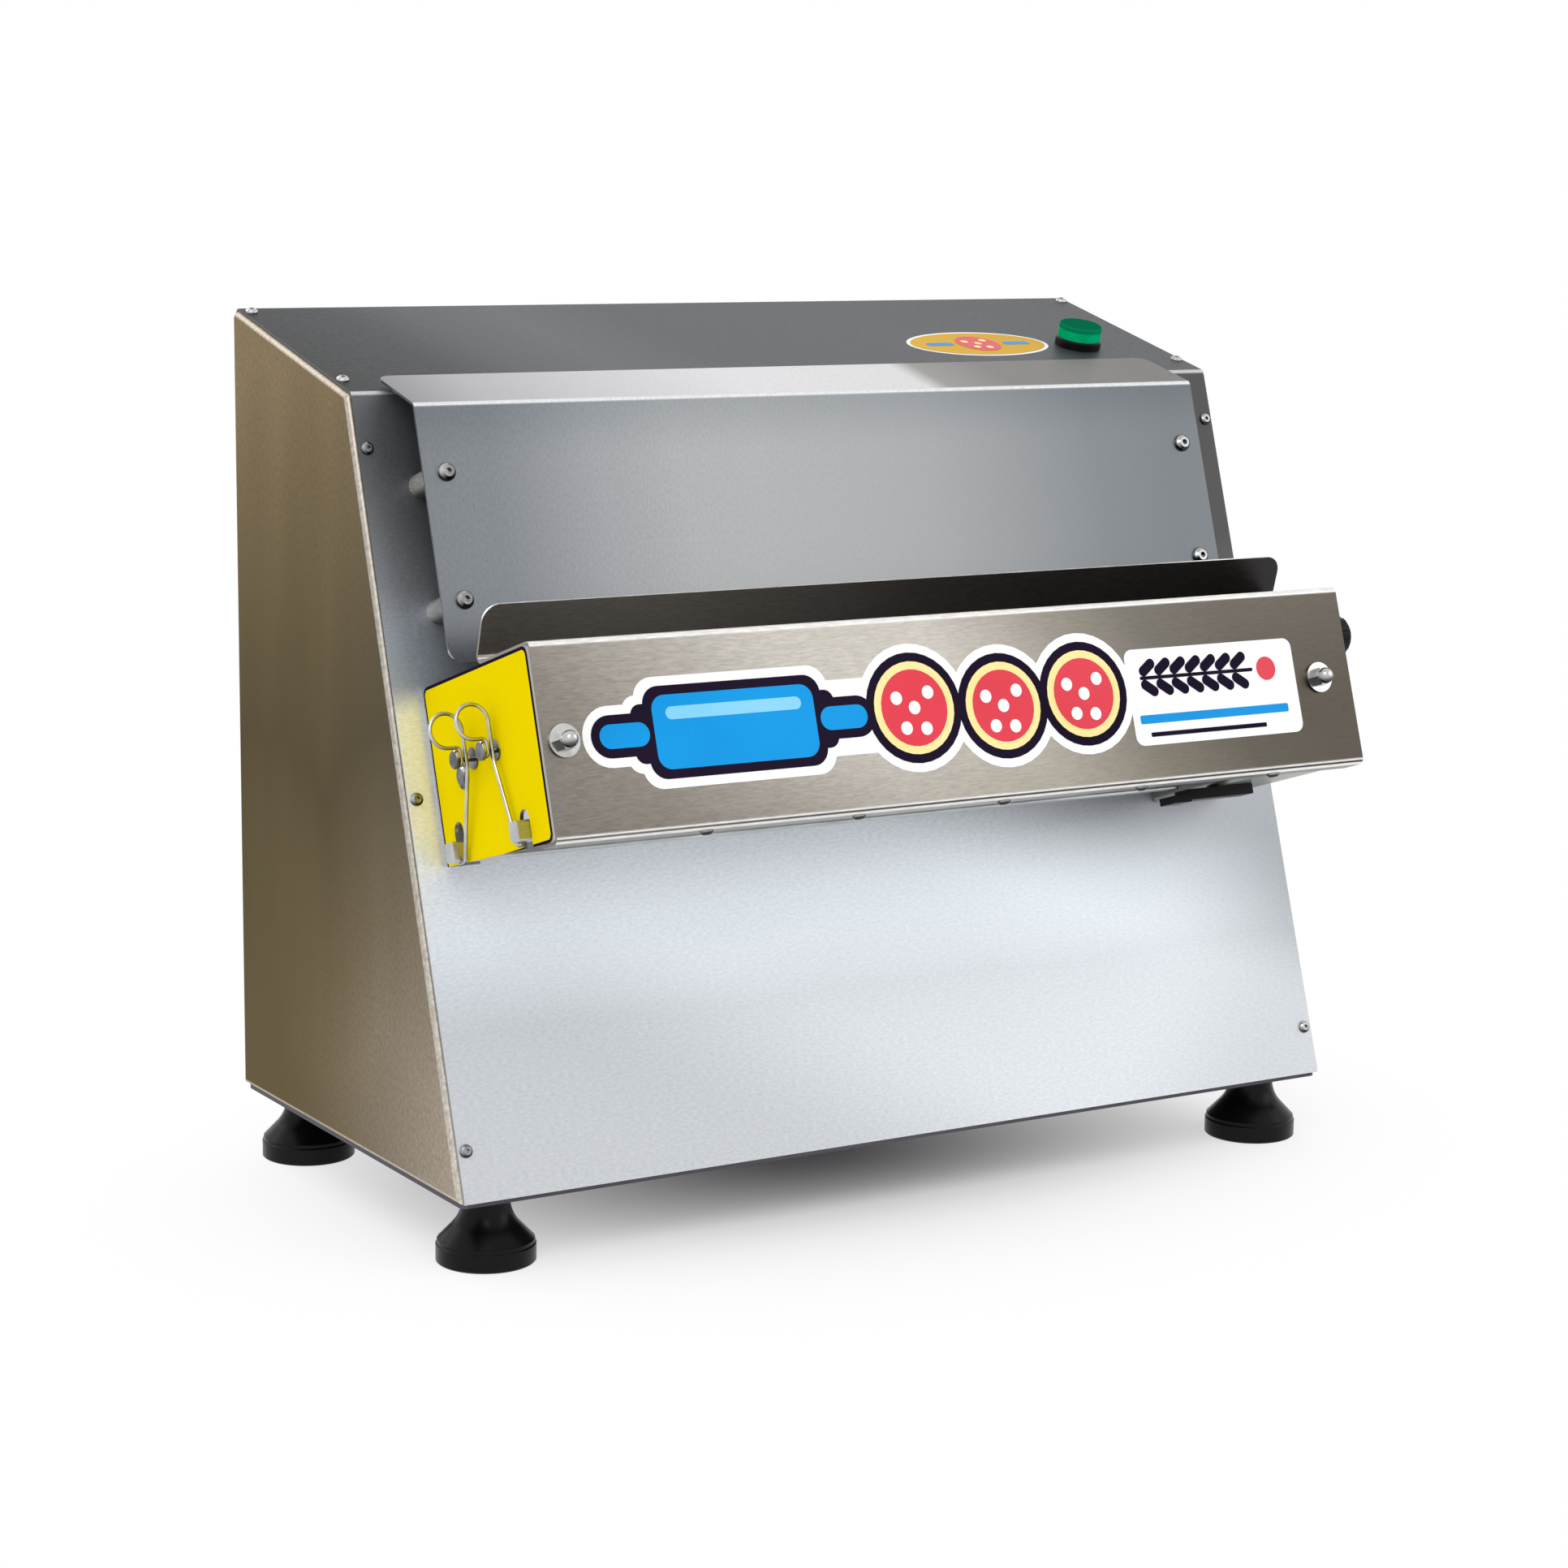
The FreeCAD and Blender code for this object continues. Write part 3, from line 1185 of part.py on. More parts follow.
def driveTrain():
    rearAxis = slope.at(beltCentre(), -d.rearRollerOff, rollerRise)
    motorAxis = level.at(beltCentre(), d.motorDepth, d.motorRise)
    pulley("roller_pulley", rearAxis, d.shaftRadius + d.fitGap)
    pulley("motor_pulley", motorAxis, d.outputRadius + d.fitGap)
    # the belt runs round both pulleys in the plane through their axes
    dy = motorAxis.y - rearAxis.y
    dz = motorAxis.z - rearAxis.z
    span = root(dy * dy + dz * dz)
    lean = Size("atan2(%s; %s) / 1 deg" % (dz.text, dy.text),
                math.degrees(math.atan2(dz.value, dy.value)))
    body = newBody("drive_belt", Frame(rearAxis.x, rearAxis.y, rearAxis.z, lean))
    loop = newSketch(body, "YZ_Plane")
    inner = d.pulleyRadius + d.looseGap
    slot(loop, 0, 0, span, 0, inner)
    slot(loop, 0, 0, span, 0, inner + d.beltThick)
    pad(body, loop, d.beltWidth, both=True)


# motor with cooling rings and fan cowl, and its gearbox on a bracket
def motorUnit():
    bracketFace = beltCentre() - d.beltWidth * 2
    boxStart = bracketFace - d.bracketThick - d.gearboxLength
    gearbox = newBody("gearbox", level.at(boxStart, d.motorDepth, d.motorRise))
    block = newSketch(gearbox, "YZ_Plane")
    box(block, -d.gearboxHalf, -d.gearboxHalf, d.gearboxHalf, d.gearboxHalf, d.gearboxCorner)
    pad(gearbox, block, d.gearboxLength)
    boss = newSketch(gearbox, "YZ_Plane", d.gearboxLength)
    circle(boss, 0, 0, d.outputRadius * 2)
    pad(gearbox, boss, d.bracketThick)
    seat = newSketch(gearbox, "YZ_Plane", d.gearboxLength + d.bracketThick)
    circle(seat, 0, 0, d.outputRadius + d.fitGap)
    pocket(gearbox, seat, d.gearboxLength / 2)
    output = newBody("motor_output_shaft",
                     level.at(bracketFace - d.gearboxLength / 4, d.motorDepth, d.motorRise))
    rod = newSketch(output, "YZ_Plane")
    circle(rod, 0, 0, d.outputRadius)
    pad(output, rod, d.gearboxLength / 4 + d.beltWidth * 3)
    motor = newBody("motor", level.at(boxStart, d.motorDepth, d.motorRise))
    inner = d.motorRadius - d.motorFinDepth
    finPitch = (d.motorLength - d.motorEndCap) / (d.motorFins * 2 + 1)
    corners = [(0, 0), (0, inner)]
    for i in range(int(d.motorFins.value)):
        start = -(finPitch * (2 * i + 1))
        stop = start - finPitch
        corners += [(start, inner), (start, d.motorRadius), (stop, d.motorRadius), (stop, inner)]
    corners += [(d.motorEndCap - d.motorLength, inner),
                (d.motorEndCap - d.motorLength, d.motorRadius),
                (-d.motorLength, d.motorRadius, d.motorFinDepth), (-d.motorLength, 0)]
    profile = newSketch(motor, "XZ_Plane")
    outline(profile, corners)
    revolve(motor, profile, "H_Axis")
    bracket = newBody("motor_bracket", level.at(bracketFace, d.motorDepth, 0))
    section = newSketch(bracket, "XZ_Plane")
    legs = [(d.bracketFoot, rearward), (d.motorRise + d.gearboxHalf, upward)]
    folded(section, (-d.bracketFoot, 0), legs, d.bracketThick, d.bracketThick / 2, 1)
    pad(bracket, section, d.bracketWidth, both=True)
    hole = newSketch(bracket, "YZ_Plane")
    circle(hole, 0, d.motorRise, d.outputRadius * 2 + d.fitGap)
    pocket(bracket, hole, 4 * d.bracketThick, both=True)


def wire(label, points, radii, radius):
    edges = []
    here = points[0]
    for i in range(1, len(points) - 1):
        corner = points[i]
        toBack = (points[i - 1] - corner).normalize()
        toNext = (points[i + 1] - corner).normalize()
        half = toBack.getAngle(toNext) / 2
        bend = radii[i]
        run = bend / math.tan(half)
        first = corner + toBack * run
        last = corner + toNext * run
        middle = (toBack + toNext).normalize()
        crest = corner + middle * (bend / math.sin(half) - bend)
        if first.distanceToPoint(here) > 1e-4:
            edges.append(Part.LineSegment(here, first).toShape())
        edges.append(Part.Arc(first, crest, last).toShape())
        here = last
    edges.append(Part.LineSegment(here, points[-1]).toShape())
    path = Part.Wire(edges)
    ring = Part.Circle(points[0], (points[1] - points[0]).normalize(), radius).toShape()
    tube = path.makePipeShell([Part.Wire([ring])], True, False)
    return tube


# latch: hook under the bar, leg, finger ring and an eye round its pin, bent from one wire
def latch(label, pinOff, reach, barOff, toFront):
    piece = doc.addObject("Part::Feature", label)
    piece.Label = label
    stand = wireStand.value
    wireR = d.wireRadius.value
    ring = d.ringRadius.value
    bend = d.hookRadius.value
    gap = d.looseGap.value
    pin = Vector(boxLeft.value, -pinOff.value, pinRise.value)
    headInside = boxLeft.value - reach.value + d.pinHeadThick.value
    eyeX = headInside + wireR + gap
    legX = eyeX + 2 * wireR + 2 * gap
    hookX = boxLeft.value - wireR - 2 * gap - d.plateThick.value / 2
    frontY = pin.y - stand
    hookY = -(barOff.value + (d.barWidth.value / 2 + wireR + 3 * gap) * toFront)
    hookZ = barRise.value - d.barHeight.value / 2 - wireR - gap
    # the leg passes in front of the pin and leans to the bar, the ring clears the pin's head
    ringTop = pin.z + 2.65 * ring
    ringLow = ringTop - 2 * ring
    eye = wireStand.value
    points = [
        Vector(hookX, hookY + d.hookLength.value * toFront, hookZ),
        Vector(hookX, hookY, hookZ),
        Vector(legX, frontY, pin.z - 2 * stand),
        Vector(legX, frontY, ringTop),
        Vector(legX - 2 * ring, frontY, ringTop),
        Vector(legX - 2 * ring, frontY, ringLow),
        Vector(eyeX, frontY, ringLow),
        Vector(eyeX, frontY, pin.z - eye),
        Vector(eyeX, pin.y + eye, pin.z - eye),
        Vector(eyeX, pin.y + eye, pin.z + eye),
        Vector(eyeX, pin.y, pin.z + eye),
    ]
    big = ring * 0.99
    small = eye * 0.8
    radii = [0, bend, bend * 4, big, big, big, bend * 0.8, small, small, small, 0]
    piece.Shape = wire(label, points, radii, wireR)
    piece.Placement = slope.placement()
    nodes[label] = piece


def latches():
    latch("rear_latch_wire", rearPinOff, d.rearPinReach, rearBarOff, 1)
    latch("front_latch_wire", frontPinOff, d.frontPinReach, frontBarOff, -1)
    pins = []
    for name, off, reach in (("rearLatchPin", rearPinOff, d.rearPinReach),
                             ("frontLatchPin", frontPinOff, d.frontPinReach)):
        pin = newMaster(name)
        profile = newSketch(pin, "XZ_Plane")
        outline(profile, [(-reach, 0), (-reach, d.pinHead * 0.9),
                          (-reach + d.pinHeadThick * 0.3, d.pinHead),
                          (-reach + d.pinHeadThick, d.pinHead),
                          (-reach + d.pinHeadThick, d.pinRadius),
                          (d.plateThick, d.pinRadius), (d.plateThick, 0)])
        revolve(pin, profile, "H_Axis")
        pins.append((pin, slope.at(boxLeft, -off, pinRise)))
    gather("latch_pins", pins)
    washer = newMaster("pinWasherMaster")
    ring = newSketch(washer, "YZ_Plane", -d.pinWasherThick)
    circle(ring, 0, 0, d.pinWasher)
    circle(ring, 0, 0, d.pinRadius + d.fitGap)
    pad(washer, ring, d.pinWasherThick)
    places = [slope.at(boxLeft, -off, pinRise) for off in (rearPinOff, frontPinOff)]
    fasteners("latch_washers", washer, places)
    bolt = newBody("rear_bearing_bolt", slope.at(boxLeft, -d.rearRollerOff, rollerRise))
    profile = newSketch(bolt, "XZ_Plane")
    shank = d.shaftRadius / 2
    outline(profile, [(-d.boltRise, 0), (-d.boltRise, d.boltRadius * 0.6),
                      (-d.boltRise / 2, d.boltRadius * 0.75), (-d.boltRise / 3, d.boltRadius),
                      (0, d.boltRadius), (0, shank), (d.shaftEndGap - d.looseGap, shank),
                      (d.shaftEndGap - d.looseGap, 0)])
    revolve(bolt, profile, "H_Axis")


# scraper bar with its blade against the roller; the front one leaves room for the open roller
def scraper(prefix, barOff, rollerOff, outward):
    start = boxLeft - d.barProud
    length = dividerPlace + d.barProud + 2 * d.plateThick
    bar = newBody(prefix + "_scraper_bar", slope.at(start, -barOff, barRise))
    section = newSketch(bar, "YZ_Plane")
    w = d.barWidth / 2
    t = d.barHeight / 2
    e = d.barEdge
    outline(section, [(-w + e, -t), (w - e, -t), (w, -t + e), (w, t - e), (w - e, t), (-w + e, t),
                      (-w, t - e), (-w, -t + e)])
    pad(bar, section, length)
    bladeStart = rollerStart() + d.bladeInset
    blade = newBody(prefix + "_scraper_blade", slope.at(bladeStart, -barOff, barRise))
    near = -(w + d.fitGap) * outward
    far = near - d.bladeThick * outward
    reach = d.rollerRadius + d.looseGap
    centreY = barOff - rollerOff
    centreZ = rollerRise - barRise
    tips = [centreZ - root(reach * reach - (y - centreY) * (y - centreY)) for y in (near, far)]
    plate = newSketch(blade, "YZ_Plane")
    outline(plate, [(near, t - d.bladeLap), (far, t - d.bladeLap), (far, tips[1]), (near, tips[0])])
    pad(blade, plate, rollerLength - 2 * d.bladeInset)


# gap shaft with two cams, each falling away as the knob opens the rollers
def gapSetting():
    leftStart, rightStart = carrierStarts()
    start = leftStart + d.carrierThick / 2
    stop = boxRight + d.knobLength * 0.7
    body = newBody("gap_cam_shaft", slope.at(start, -camShaftOff, camShaftRise))
    rod = newSketch(body, "YZ_Plane")
    circle(rod, 0, 0, d.camShaftRadius)
    pad(body, rod, stop - start)
    high = camShaftOff - frontRollerOff - d.blockHalf - d.fitGap
    steps = 9
    corners = []
    for i in range(steps + 1):
        share = i / steps
        radius = high - d.gapTravel * share
        angle = d.camTurn * share
        corners.append((radius * cosine(angle), radius * sine(angle) * -1))
    leftCam = leftStart + d.carrierThick + d.bushProud - start
    rightCam = rightStart - d.camWidth - d.bushProud - start
    for place in (leftCam, rightCam):
        cam = newSketch(body, "YZ_Plane", place)
        outline(cam, corners)
        pad(body, cam, d.camWidth)
    knob = newBody("gap_knob", slope.at(boxRight + d.looseGap, -camShaftOff, camShaftRise))
    profile = newSketch(knob, "XZ_Plane")
    bore = d.camShaftRadius + d.fitGap
    edge = d.knobLength * 0.15
    outline(profile, [(0, bore), (0, d.knobRadius), (d.knobLength - edge, d.knobRadius),
                      (d.knobLength, d.knobRadius - edge), (d.knobLength, 0),
                      (d.knobLength * 0.72, 0), (d.knobLength * 0.72, bore)])
    revolve(knob, profile, "H_Axis")
    doc.recompute()
    groove = newSketch(knob, "YZ_Plane", d.knobLength * 0.3)
    circle(groove, 0, d.knobRadius + d.knobGrip, d.knobGrip * 2)
    cut = pocket(knob, groove, d.knobLength, reverse=True)
    doc.recompute()
    ring = knob.newObject("PartDesign::PolarPattern", "knobGrooveRing")
    ring.Originals = [cut]
    ring.Axis = (groove, ["N_Axis"])
    ring.Angle = 360
    bind(ring, "Occurrences", d.knobGrooves)
    knob.Tip = ring


# pilot lamp: base ring, ribbed lens, neck and nut
def pilotLamp():
    seat = top.at(lampSide, d.lampBack, 0)
    base = newBody("lamp_base", seat)
    profile = newSketch(base, "XZ_Plane")
    outline(profile, [(0, -d.lampNeckLength), (d.lampNeckRadius, -d.lampNeckLength),
                      (d.lampNeckRadius, 0), (d.lampBaseRadius, 0),
                      (d.lampBaseRadius, d.lampBaseHeight * 0.8),
                      (d.lampBaseRadius - d.lampBaseHeight * 0.2, d.lampBaseHeight),
                      (0, d.lampBaseHeight)])
    revolve(base, profile)
    lens = newBody("lamp_lens", seat.at(0, 0, d.lampBaseHeight))
    profile = newSketch(lens, "XZ_Plane")
    outline(profile, [(0, 0), (d.lensRadius, 0), (d.lensRadius, d.lensHeight, d.lensHeight * 0.15),
                      (0, d.lensHeight)])
    revolve(lens, profile)
    nut = newBody("lamp_nut", seat.at(0, 0, -(d.sheetThick + d.footNutHeight / 2)))
    shape = newSketch(nut, "XY_Plane")
    hexagon(shape, d.lampBaseRadius)
    circle(shape, 0, 0, d.lampNeckRadius + d.fitGap)
    pad(nut, shape, d.footNutHeight / 2)


def safetySwitch():
    upper = d.boxBottom + d.sheetThick + d.looseGap - d.fitGap
    body = newBody("safety_switch", slope)
    block = newSketch(body, "XZ_Plane", d.sensorPlace)
    right = boxRight - d.sensorInset
    box(block, right - d.sensorWidth, upper - d.sensorHeight, right, upper, d.sensorHeight / 8)
    pad(body, block, d.sensorDepth)
    small = newSketch(body, "XZ_Plane", d.sensorPlace)
    left = right - d.sensorWidth - d.sensorDepth
    box(small, left, upper - d.sensorHeight * 1.2, right - d.sensorWidth + d.overrun,
        upper - d.sensorHeight / 2)
    pad(body, small, d.sensorDepth * 1.2)


# power switch and cable gland in the rear panel
def rearServices():
    seat = level.at(-switchSide, d.bodyDepth, d.rearServiceRise)
    bezel = newBody("switch_bezel", seat)
    frame = newSketch(bezel, "XZ_Plane")
    w = d.rockerWidth / 2
    t = d.rockerHeight / 2
    box(frame, -w - d.bezelRim, -t - d.bezelRim, w + d.bezelRim, t + d.bezelRim, d.bezelRim / 2)
    pad(bezel, frame, d.bezelThick, reverse=True)
    case = newSketch(bezel, "XZ_Plane")
    box(case, -w + d.fitGap, -t + d.fitGap, w - d.fitGap, t - d.fitGap)
    pad(bezel, case, d.rockerHeight)
    well = newSketch(bezel, "XZ_Plane", -d.bezelThick)
    box(well, -w + d.bezelThick, -t + d.bezelThick, w - d.bezelThick, t - d.bezelThick)
    pocket(bezel, well, d.rockerHeight, reverse=True)
    rocker = newBody("power_rocker", seat.turned(d.rockerTilt * -1))
    key = newSketch(rocker, "YZ_Plane")
    half = t - d.bezelThick - d.looseGap * 3
    outline(key, [(-d.rockerHeight / 4, -half / 2), (d.bezelThick, -half), (d.bezelThick * 2, -half),
                  (d.bezelThick, 0), (d.bezelThick * 2, half), (d.bezelThick, half),
                  (-d.rockerHeight / 4, half / 2)])
    pad(rocker, key, 2 * (w - d.bezelThick - d.looseGap), both=True)
    pivot = newSketch(rocker, "YZ_Plane")
    circle(pivot, 0, 0, d.bezelThick / 2)
    pad(rocker, pivot, 2 * (w - d.bezelThick - d.fitGap), both=True)
    gland = newBody("cable_gland", level.at(-glandSide, d.bodyDepth, d.rearServiceRise))
    profile = newSketch(gland, "XY_Plane")
    wall = d.sheetThick + d.footNutHeight
    outline(profile, [(d.glandBore, -wall), (d.glandThread, -wall), (d.glandThread, 0),
                      (d.glandRadius, 0), (d.glandRadius, d.glandReach * 0.3),
                      (d.glandRadius * 0.9, d.glandReach * 0.35),
                      (d.glandRadius * 0.9, d.glandReach * 0.7),
                      (d.glandBore + d.sheetThick, d.glandReach), (d.glandBore, d.glandReach)])
    revolve(gland, profile)


def buildAll():
    basePan()
    sidePanel("left_side_panel", -1)
    sidePanel("right_side_panel", 1)
    frontTopCover()
    rearPanel()
    feet()
    bodyScrews()
    feedChute()
    rollerCover()
    coverStiffener()
    coverFasteners()
    leftEndPlate()
    rightEndPlate()
    dividerPlate()
    bearings()
    roller("rear_roller", d.rearRollerOff)
    roller("front_roller", frontRollerOff)
    gearEnd = gearStart() - boxLeft - d.shaftEndGap + 2 * d.gearHubRise + d.gearWidth
    beltEnd = beltCentre() - boxLeft - d.shaftEndGap + d.beltWidth / 2 + 2 * d.flangeThick
    shaft("rear_roller_shaft", d.rearRollerOff, beltEnd)
    shaft("front_roller_shaft", frontRollerOff, gearEnd)
    rollerGear("rear_roller_gear", d.rearRollerOff, 0)
    rollerGear("front_roller_gear", frontRollerOff, 1)
    driveTrain()
    motorUnit()
    latches()
    scraper("rear", rearBarOff, d.rearRollerOff, -1)
    scraper("front", frontBarOff, frontRollerOff + d.gapTravel, 1)
    gapSetting()
    pilotLamp()
    safetySwitch()
    rearServices()


def checkAndWrite():
    doc.recompute()
    for item in doc.Objects:
        if "Invalid" in item.State or "Error" in item.State:
            raise RuntimeError("%s failed: %s" % (item.Label, item.State))
    for feature in pockets:
        before = feature.BaseFeature.Shape.Volume
        if feature.Shape.Volume > before - 1e-6:
            raise RuntimeError("%s cuts nothing" % feature.Label)
    os.makedirs("parts", exist_ok=True)
    for label, item in nodes.items():
        shape = item.Shape
        if shape.isNull() or not shape.isValid() or not shape.Solids:
            raise RuntimeError("%s has no valid shape" % label)
        shape.exportStep("parts/%s.step" % label)
        print("%-24s solids %d volume %.0f" % (label, len(shape.Solids), shape.Volume))
    print("nodes", len(nodes))


buildAll()
checkAndWrite()
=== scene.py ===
import math
import bmesh
import bpy
from mathutils import Euler, Matrix, Vector


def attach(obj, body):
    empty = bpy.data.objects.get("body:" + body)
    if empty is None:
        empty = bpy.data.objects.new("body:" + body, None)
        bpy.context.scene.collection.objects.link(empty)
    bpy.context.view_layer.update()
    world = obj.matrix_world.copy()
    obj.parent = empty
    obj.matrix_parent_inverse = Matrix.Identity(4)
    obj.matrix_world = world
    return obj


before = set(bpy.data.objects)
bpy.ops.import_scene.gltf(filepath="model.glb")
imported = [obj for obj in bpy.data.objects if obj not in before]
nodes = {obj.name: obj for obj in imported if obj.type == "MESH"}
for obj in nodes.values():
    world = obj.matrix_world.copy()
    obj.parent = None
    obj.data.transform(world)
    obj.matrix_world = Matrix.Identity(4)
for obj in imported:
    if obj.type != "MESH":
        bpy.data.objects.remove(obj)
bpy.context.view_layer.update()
scene = bpy.context.scene

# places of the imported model, in metres and degrees
machine = {
    "baseX": 0.0031, "baseY": -0.12244, "baseZ": 0.043,  # front bottom edge of the body
    "slopeAngle": 17.83, "slopeLength": 0.452, "topAngle": 14.1, "lipAngle": 57,
    "boxFace": 0.136, "boxLeft": -0.280,
}
slopeTurn = math.radians(machine["slopeAngle"])
topTurn = math.radians(machine["topAngle"])
lipTurn = math.radians(machine["lipAngle"])
baseFrame = Matrix.Translation((machine["baseX"], machine["baseY"], machine["baseZ"]))
slopeFrame = baseFrame @ Matrix.Rotation(-slopeTurn, 4, "X")
topEdge = slopeFrame @ Vector((0, 0, machine["slopeLength"]))
topFrame = Matrix.Translation(topEdge) @ Matrix.Rotation(topTurn, 4, "X")

# ways that the bent sheets face
frontWay = (0, -math.cos(slopeTurn), math.sin(slopeTurn))
upSlopeWay = (0, math.sin(slopeTurn), math.cos(slopeTurn))
topWay = (0, -math.sin(topTurn), math.cos(topTurn))
lipWay = tuple(slopeFrame.to_3x3() @ Vector((0, -math.sin(lipTurn), -math.cos(lipTurn))))
acrossWay, backWay, upWay = (1, 0, 0), (0, 1, 0), (0, 0, 1)


def linear(hexCode):
    channels = []
    for i in (0, 2, 4):
        c = int(hexCode[i:i + 2], 16) / 255
        channels.append(c / 12.92 if c <= 0.04045 else ((c + 0.055) / 1.055) ** 2.4)
    return (*channels, 1.0)


# camera at the photograph's angle
view = {"place": (-1.1152, -1.79211, 0.60451), "turn": (79.9757, -0.6646, -31.3169),
        "lens": 81.488, "sensor": 36}
cameraData = bpy.data.cameras.new("photoView")
cameraData.lens = view["lens"]
cameraData.sensor_width = view["sensor"]
camera = bpy.data.objects.new("photoView", cameraData)
camera.location = view["place"]
camera.rotation_euler = Euler([math.radians(a) for a in view["turn"]], "XYZ")
scene.collection.objects.link(camera)
scene.camera = camera


# one node with its settings and links; a number picks a socket by its place
def addNode(tree, kind, settings=None, links=None):
    node = tree.nodes.new(kind)
    for key, value in (settings or {}).items():
        if isinstance(key, str) and hasattr(node, key):
            setattr(node, key, value)
        else:
            node.inputs[key].default_value = value
    for key, source in (links or {}).items():
        tree.links.new(source, node.inputs[key])
    return node


def newMaterial(name):
    material = bpy.data.materials.new(name)
    material.use_nodes = True
    tree = material.node_tree
    tree.nodes.clear()
    coords = addNode(tree, "ShaderNodeTexCoord")
    return material, tree, coords


def finishMaterial(tree, shader):
    addNode(tree, "ShaderNodeOutputMaterial", links={"Surface": shader.outputs[0]})


# noise stretched along the axes
def stretchedNoise(tree, source, scale, detail, roughness):
    mapped = addNode(tree, "ShaderNodeMapping", {"Scale": scale}, {"Vector": source})
    noise = addNode(tree, "ShaderNodeTexNoise",
                    {"Scale": 1, "Detail": detail, "Roughness": roughness},
                    {"Vector": mapped.outputs[0]})
    return noise.outputs["Fac"]


# how far a vector reaches along a way
def reach(tree, vector, way):
    run = addNode(tree, "ShaderNodeVectorMath", {"operation": "DOT_PRODUCT", 1: way}, {0: vector})
    return run.outputs["Value"]


# a value carried from one span to another
def carry(tree, value, span, target=(0, 1), course="LINEAR"):
    settings = {"interpolation_type": course, "From Min": span[0], "From Max": span[1],
                "To Min": target[0], "To Max": target[1]}
    return addNode(tree, "ShaderNodeMapRange", settings, {"Value": value}).outputs[0]


# a share of one colour laid over another; the upper one is a colour or a socket
def overlay(tree, share, under, over, blend="MIX"):
    settings = {"data_type": "RGBA", "blend_type": blend}
    links = {0: share, 6: under}
    (settings if isinstance(over, tuple) else links)[7] = over
    return addNode(tree, "ShaderNodeMix", settings, links).outputs[2]


def toneRamp(tree, place, paintedLightTones):
    node = addNode(tree, "ShaderNodeValToRGB", links={0: place})
    ramp = node.color_ramp
    ramp.elements.remove(ramp.elements[-1])
    first, *others = [(position, linear(code)) for position, code in paintedLightTones]
    ramp.elements[0].position, ramp.elements[0].color = first
    for position, colour in others:
        ramp.elements.new(position).color = colour
    return node.outputs[0]


noiseSpan = (0.3, 0.7)  # nearly all of a noise lies between these
facingSpan = (0.97, 0.995)  # cosines over which a face comes to face a way
bendSpan = (0.999, 0.97)  # cosines over which a flat passes into its bend
grit = {"detail": 3, "noiseRoughness": 0.6, "shinier": 0.05, "duller": 0.06, "bump": 0.12,
        "depth": 0.0002}
cloud = {"detail": 2, "noiseRoughness": 0.5}


# Brushed stainless sheet, grade 304 with a No. 4 grit finish. Lines of grit 0.1 mm wide and some
# 30 mm long spread a reflection across them; they are drawn 0.7 mm wide so that they show.
def brushedSheet(name, look):
    material, tree, coords = newMaterial(name)
    normal = coords.outputs["Normal"]
    spot = look["frame"]
    local = addNode(tree, "ShaderNodeMapping",
                    {"vector_type": "TEXTURE", "Location": spot.to_translation(),
                     "Rotation": spot.to_euler()}, {"Vector": coords.outputs["Object"]}).outputs[0]
    lines = stretchedNoise(tree, local, look["gritScale"], grit["detail"], grit["noiseRoughness"])
    clouds = stretchedNoise(tree, local, look["cloudScale"], cloud["detail"],
                            cloud["noiseRoughness"])
    # painted reflections and shade: a ramp of tones along a way across the sheet, moved a little
    # by random clouds
    along = carry(tree, reach(tree, local, look["rampWay"]), look["rampRange"])
    wander = addNode(tree, "ShaderNodeMath", {"operation": "MULTIPLY_ADD", 1: look["wander"]},
                     {0: clouds, 2: along}).outputs[0]
    colour = toneRamp(tree, wander, look["paintedLightTones"])
    for end in look.get("ends", []):
        # painted shade: darker towards an end of the sheet
        share = carry(tree, reach(tree, local, end["way"]), end["span"], course="SMOOTHSTEP")
        colour = overlay(tree, share, colour, linear(end["tone"]), "MULTIPLY")
    for part in look.get("parts", []):
        # painted light and shade: another ramp where the sheet is bent to face another way
        place = wander
        if "rampWay" in part:
            place = carry(tree, reach(tree, local, part["rampWay"]), part["rampRange"])
        share = carry(tree, reach(tree, normal, part["faces"]), facingSpan)
        colour = overlay(tree, share, colour, toneRamp(tree, place, part["paintedLightTones"]))
    # painted highlight: the bends are given a paler tone, as if they caught the light
    nearest = None
    for way in look["flats"]:
        facing = addNode(tree, "ShaderNodeMath", {"operation": "ABSOLUTE"},
                         {0: reach(tree, normal, way)})
        if nearest is not None:
            facing = addNode(tree, "ShaderNodeMath", {"operation": "MAXIMUM"},
                             {0: facing.outputs[0], 1: nearest.outputs[0]})
        nearest = facing
    bend = carry(tree, nearest.outputs[0], bendSpan, (0, look["bendHighlightShare"]))
    colour = overlay(tree, bend, colour, linear(look["bendHighlightTone"]))
    gritTone = carry(tree, lines, noiseSpan, (1 - look["gritDepth"], 1 + look["gritDepth"]))
    shaded = addNode(tree, "ShaderNodeVectorMath", {"operation": "SCALE"},
                     {0: colour, "Scale": gritTone})
    rough = carry(tree, lines, noiseSpan,
                  (look["roughness"] - grit["shinier"], look["roughness"] + grit["duller"]))
    bump = addNode(tree, "ShaderNodeBump", {"Strength": grit["bump"], "Distance": grit["depth"]},
                   {"Height": lines})
    steel = addNode(tree, "ShaderNodeBsdfPrincipled",
                    {"Metallic": look["metallic"],
                     "Specular Tint": linear(look.get("glanceTone", "ffffff"))},
                    {"Base Color": shaded.outputs[0], "Roughness": rough,
                     "Normal": bump.outputs[0]})
    finishMaterial(tree, steel)
    return material


grain = {"detail": 4, "noiseRoughness": 0.6, "share": 0.5, "span": (0.5, 1.0), "sheen": 0.15}
patchDetail = 2
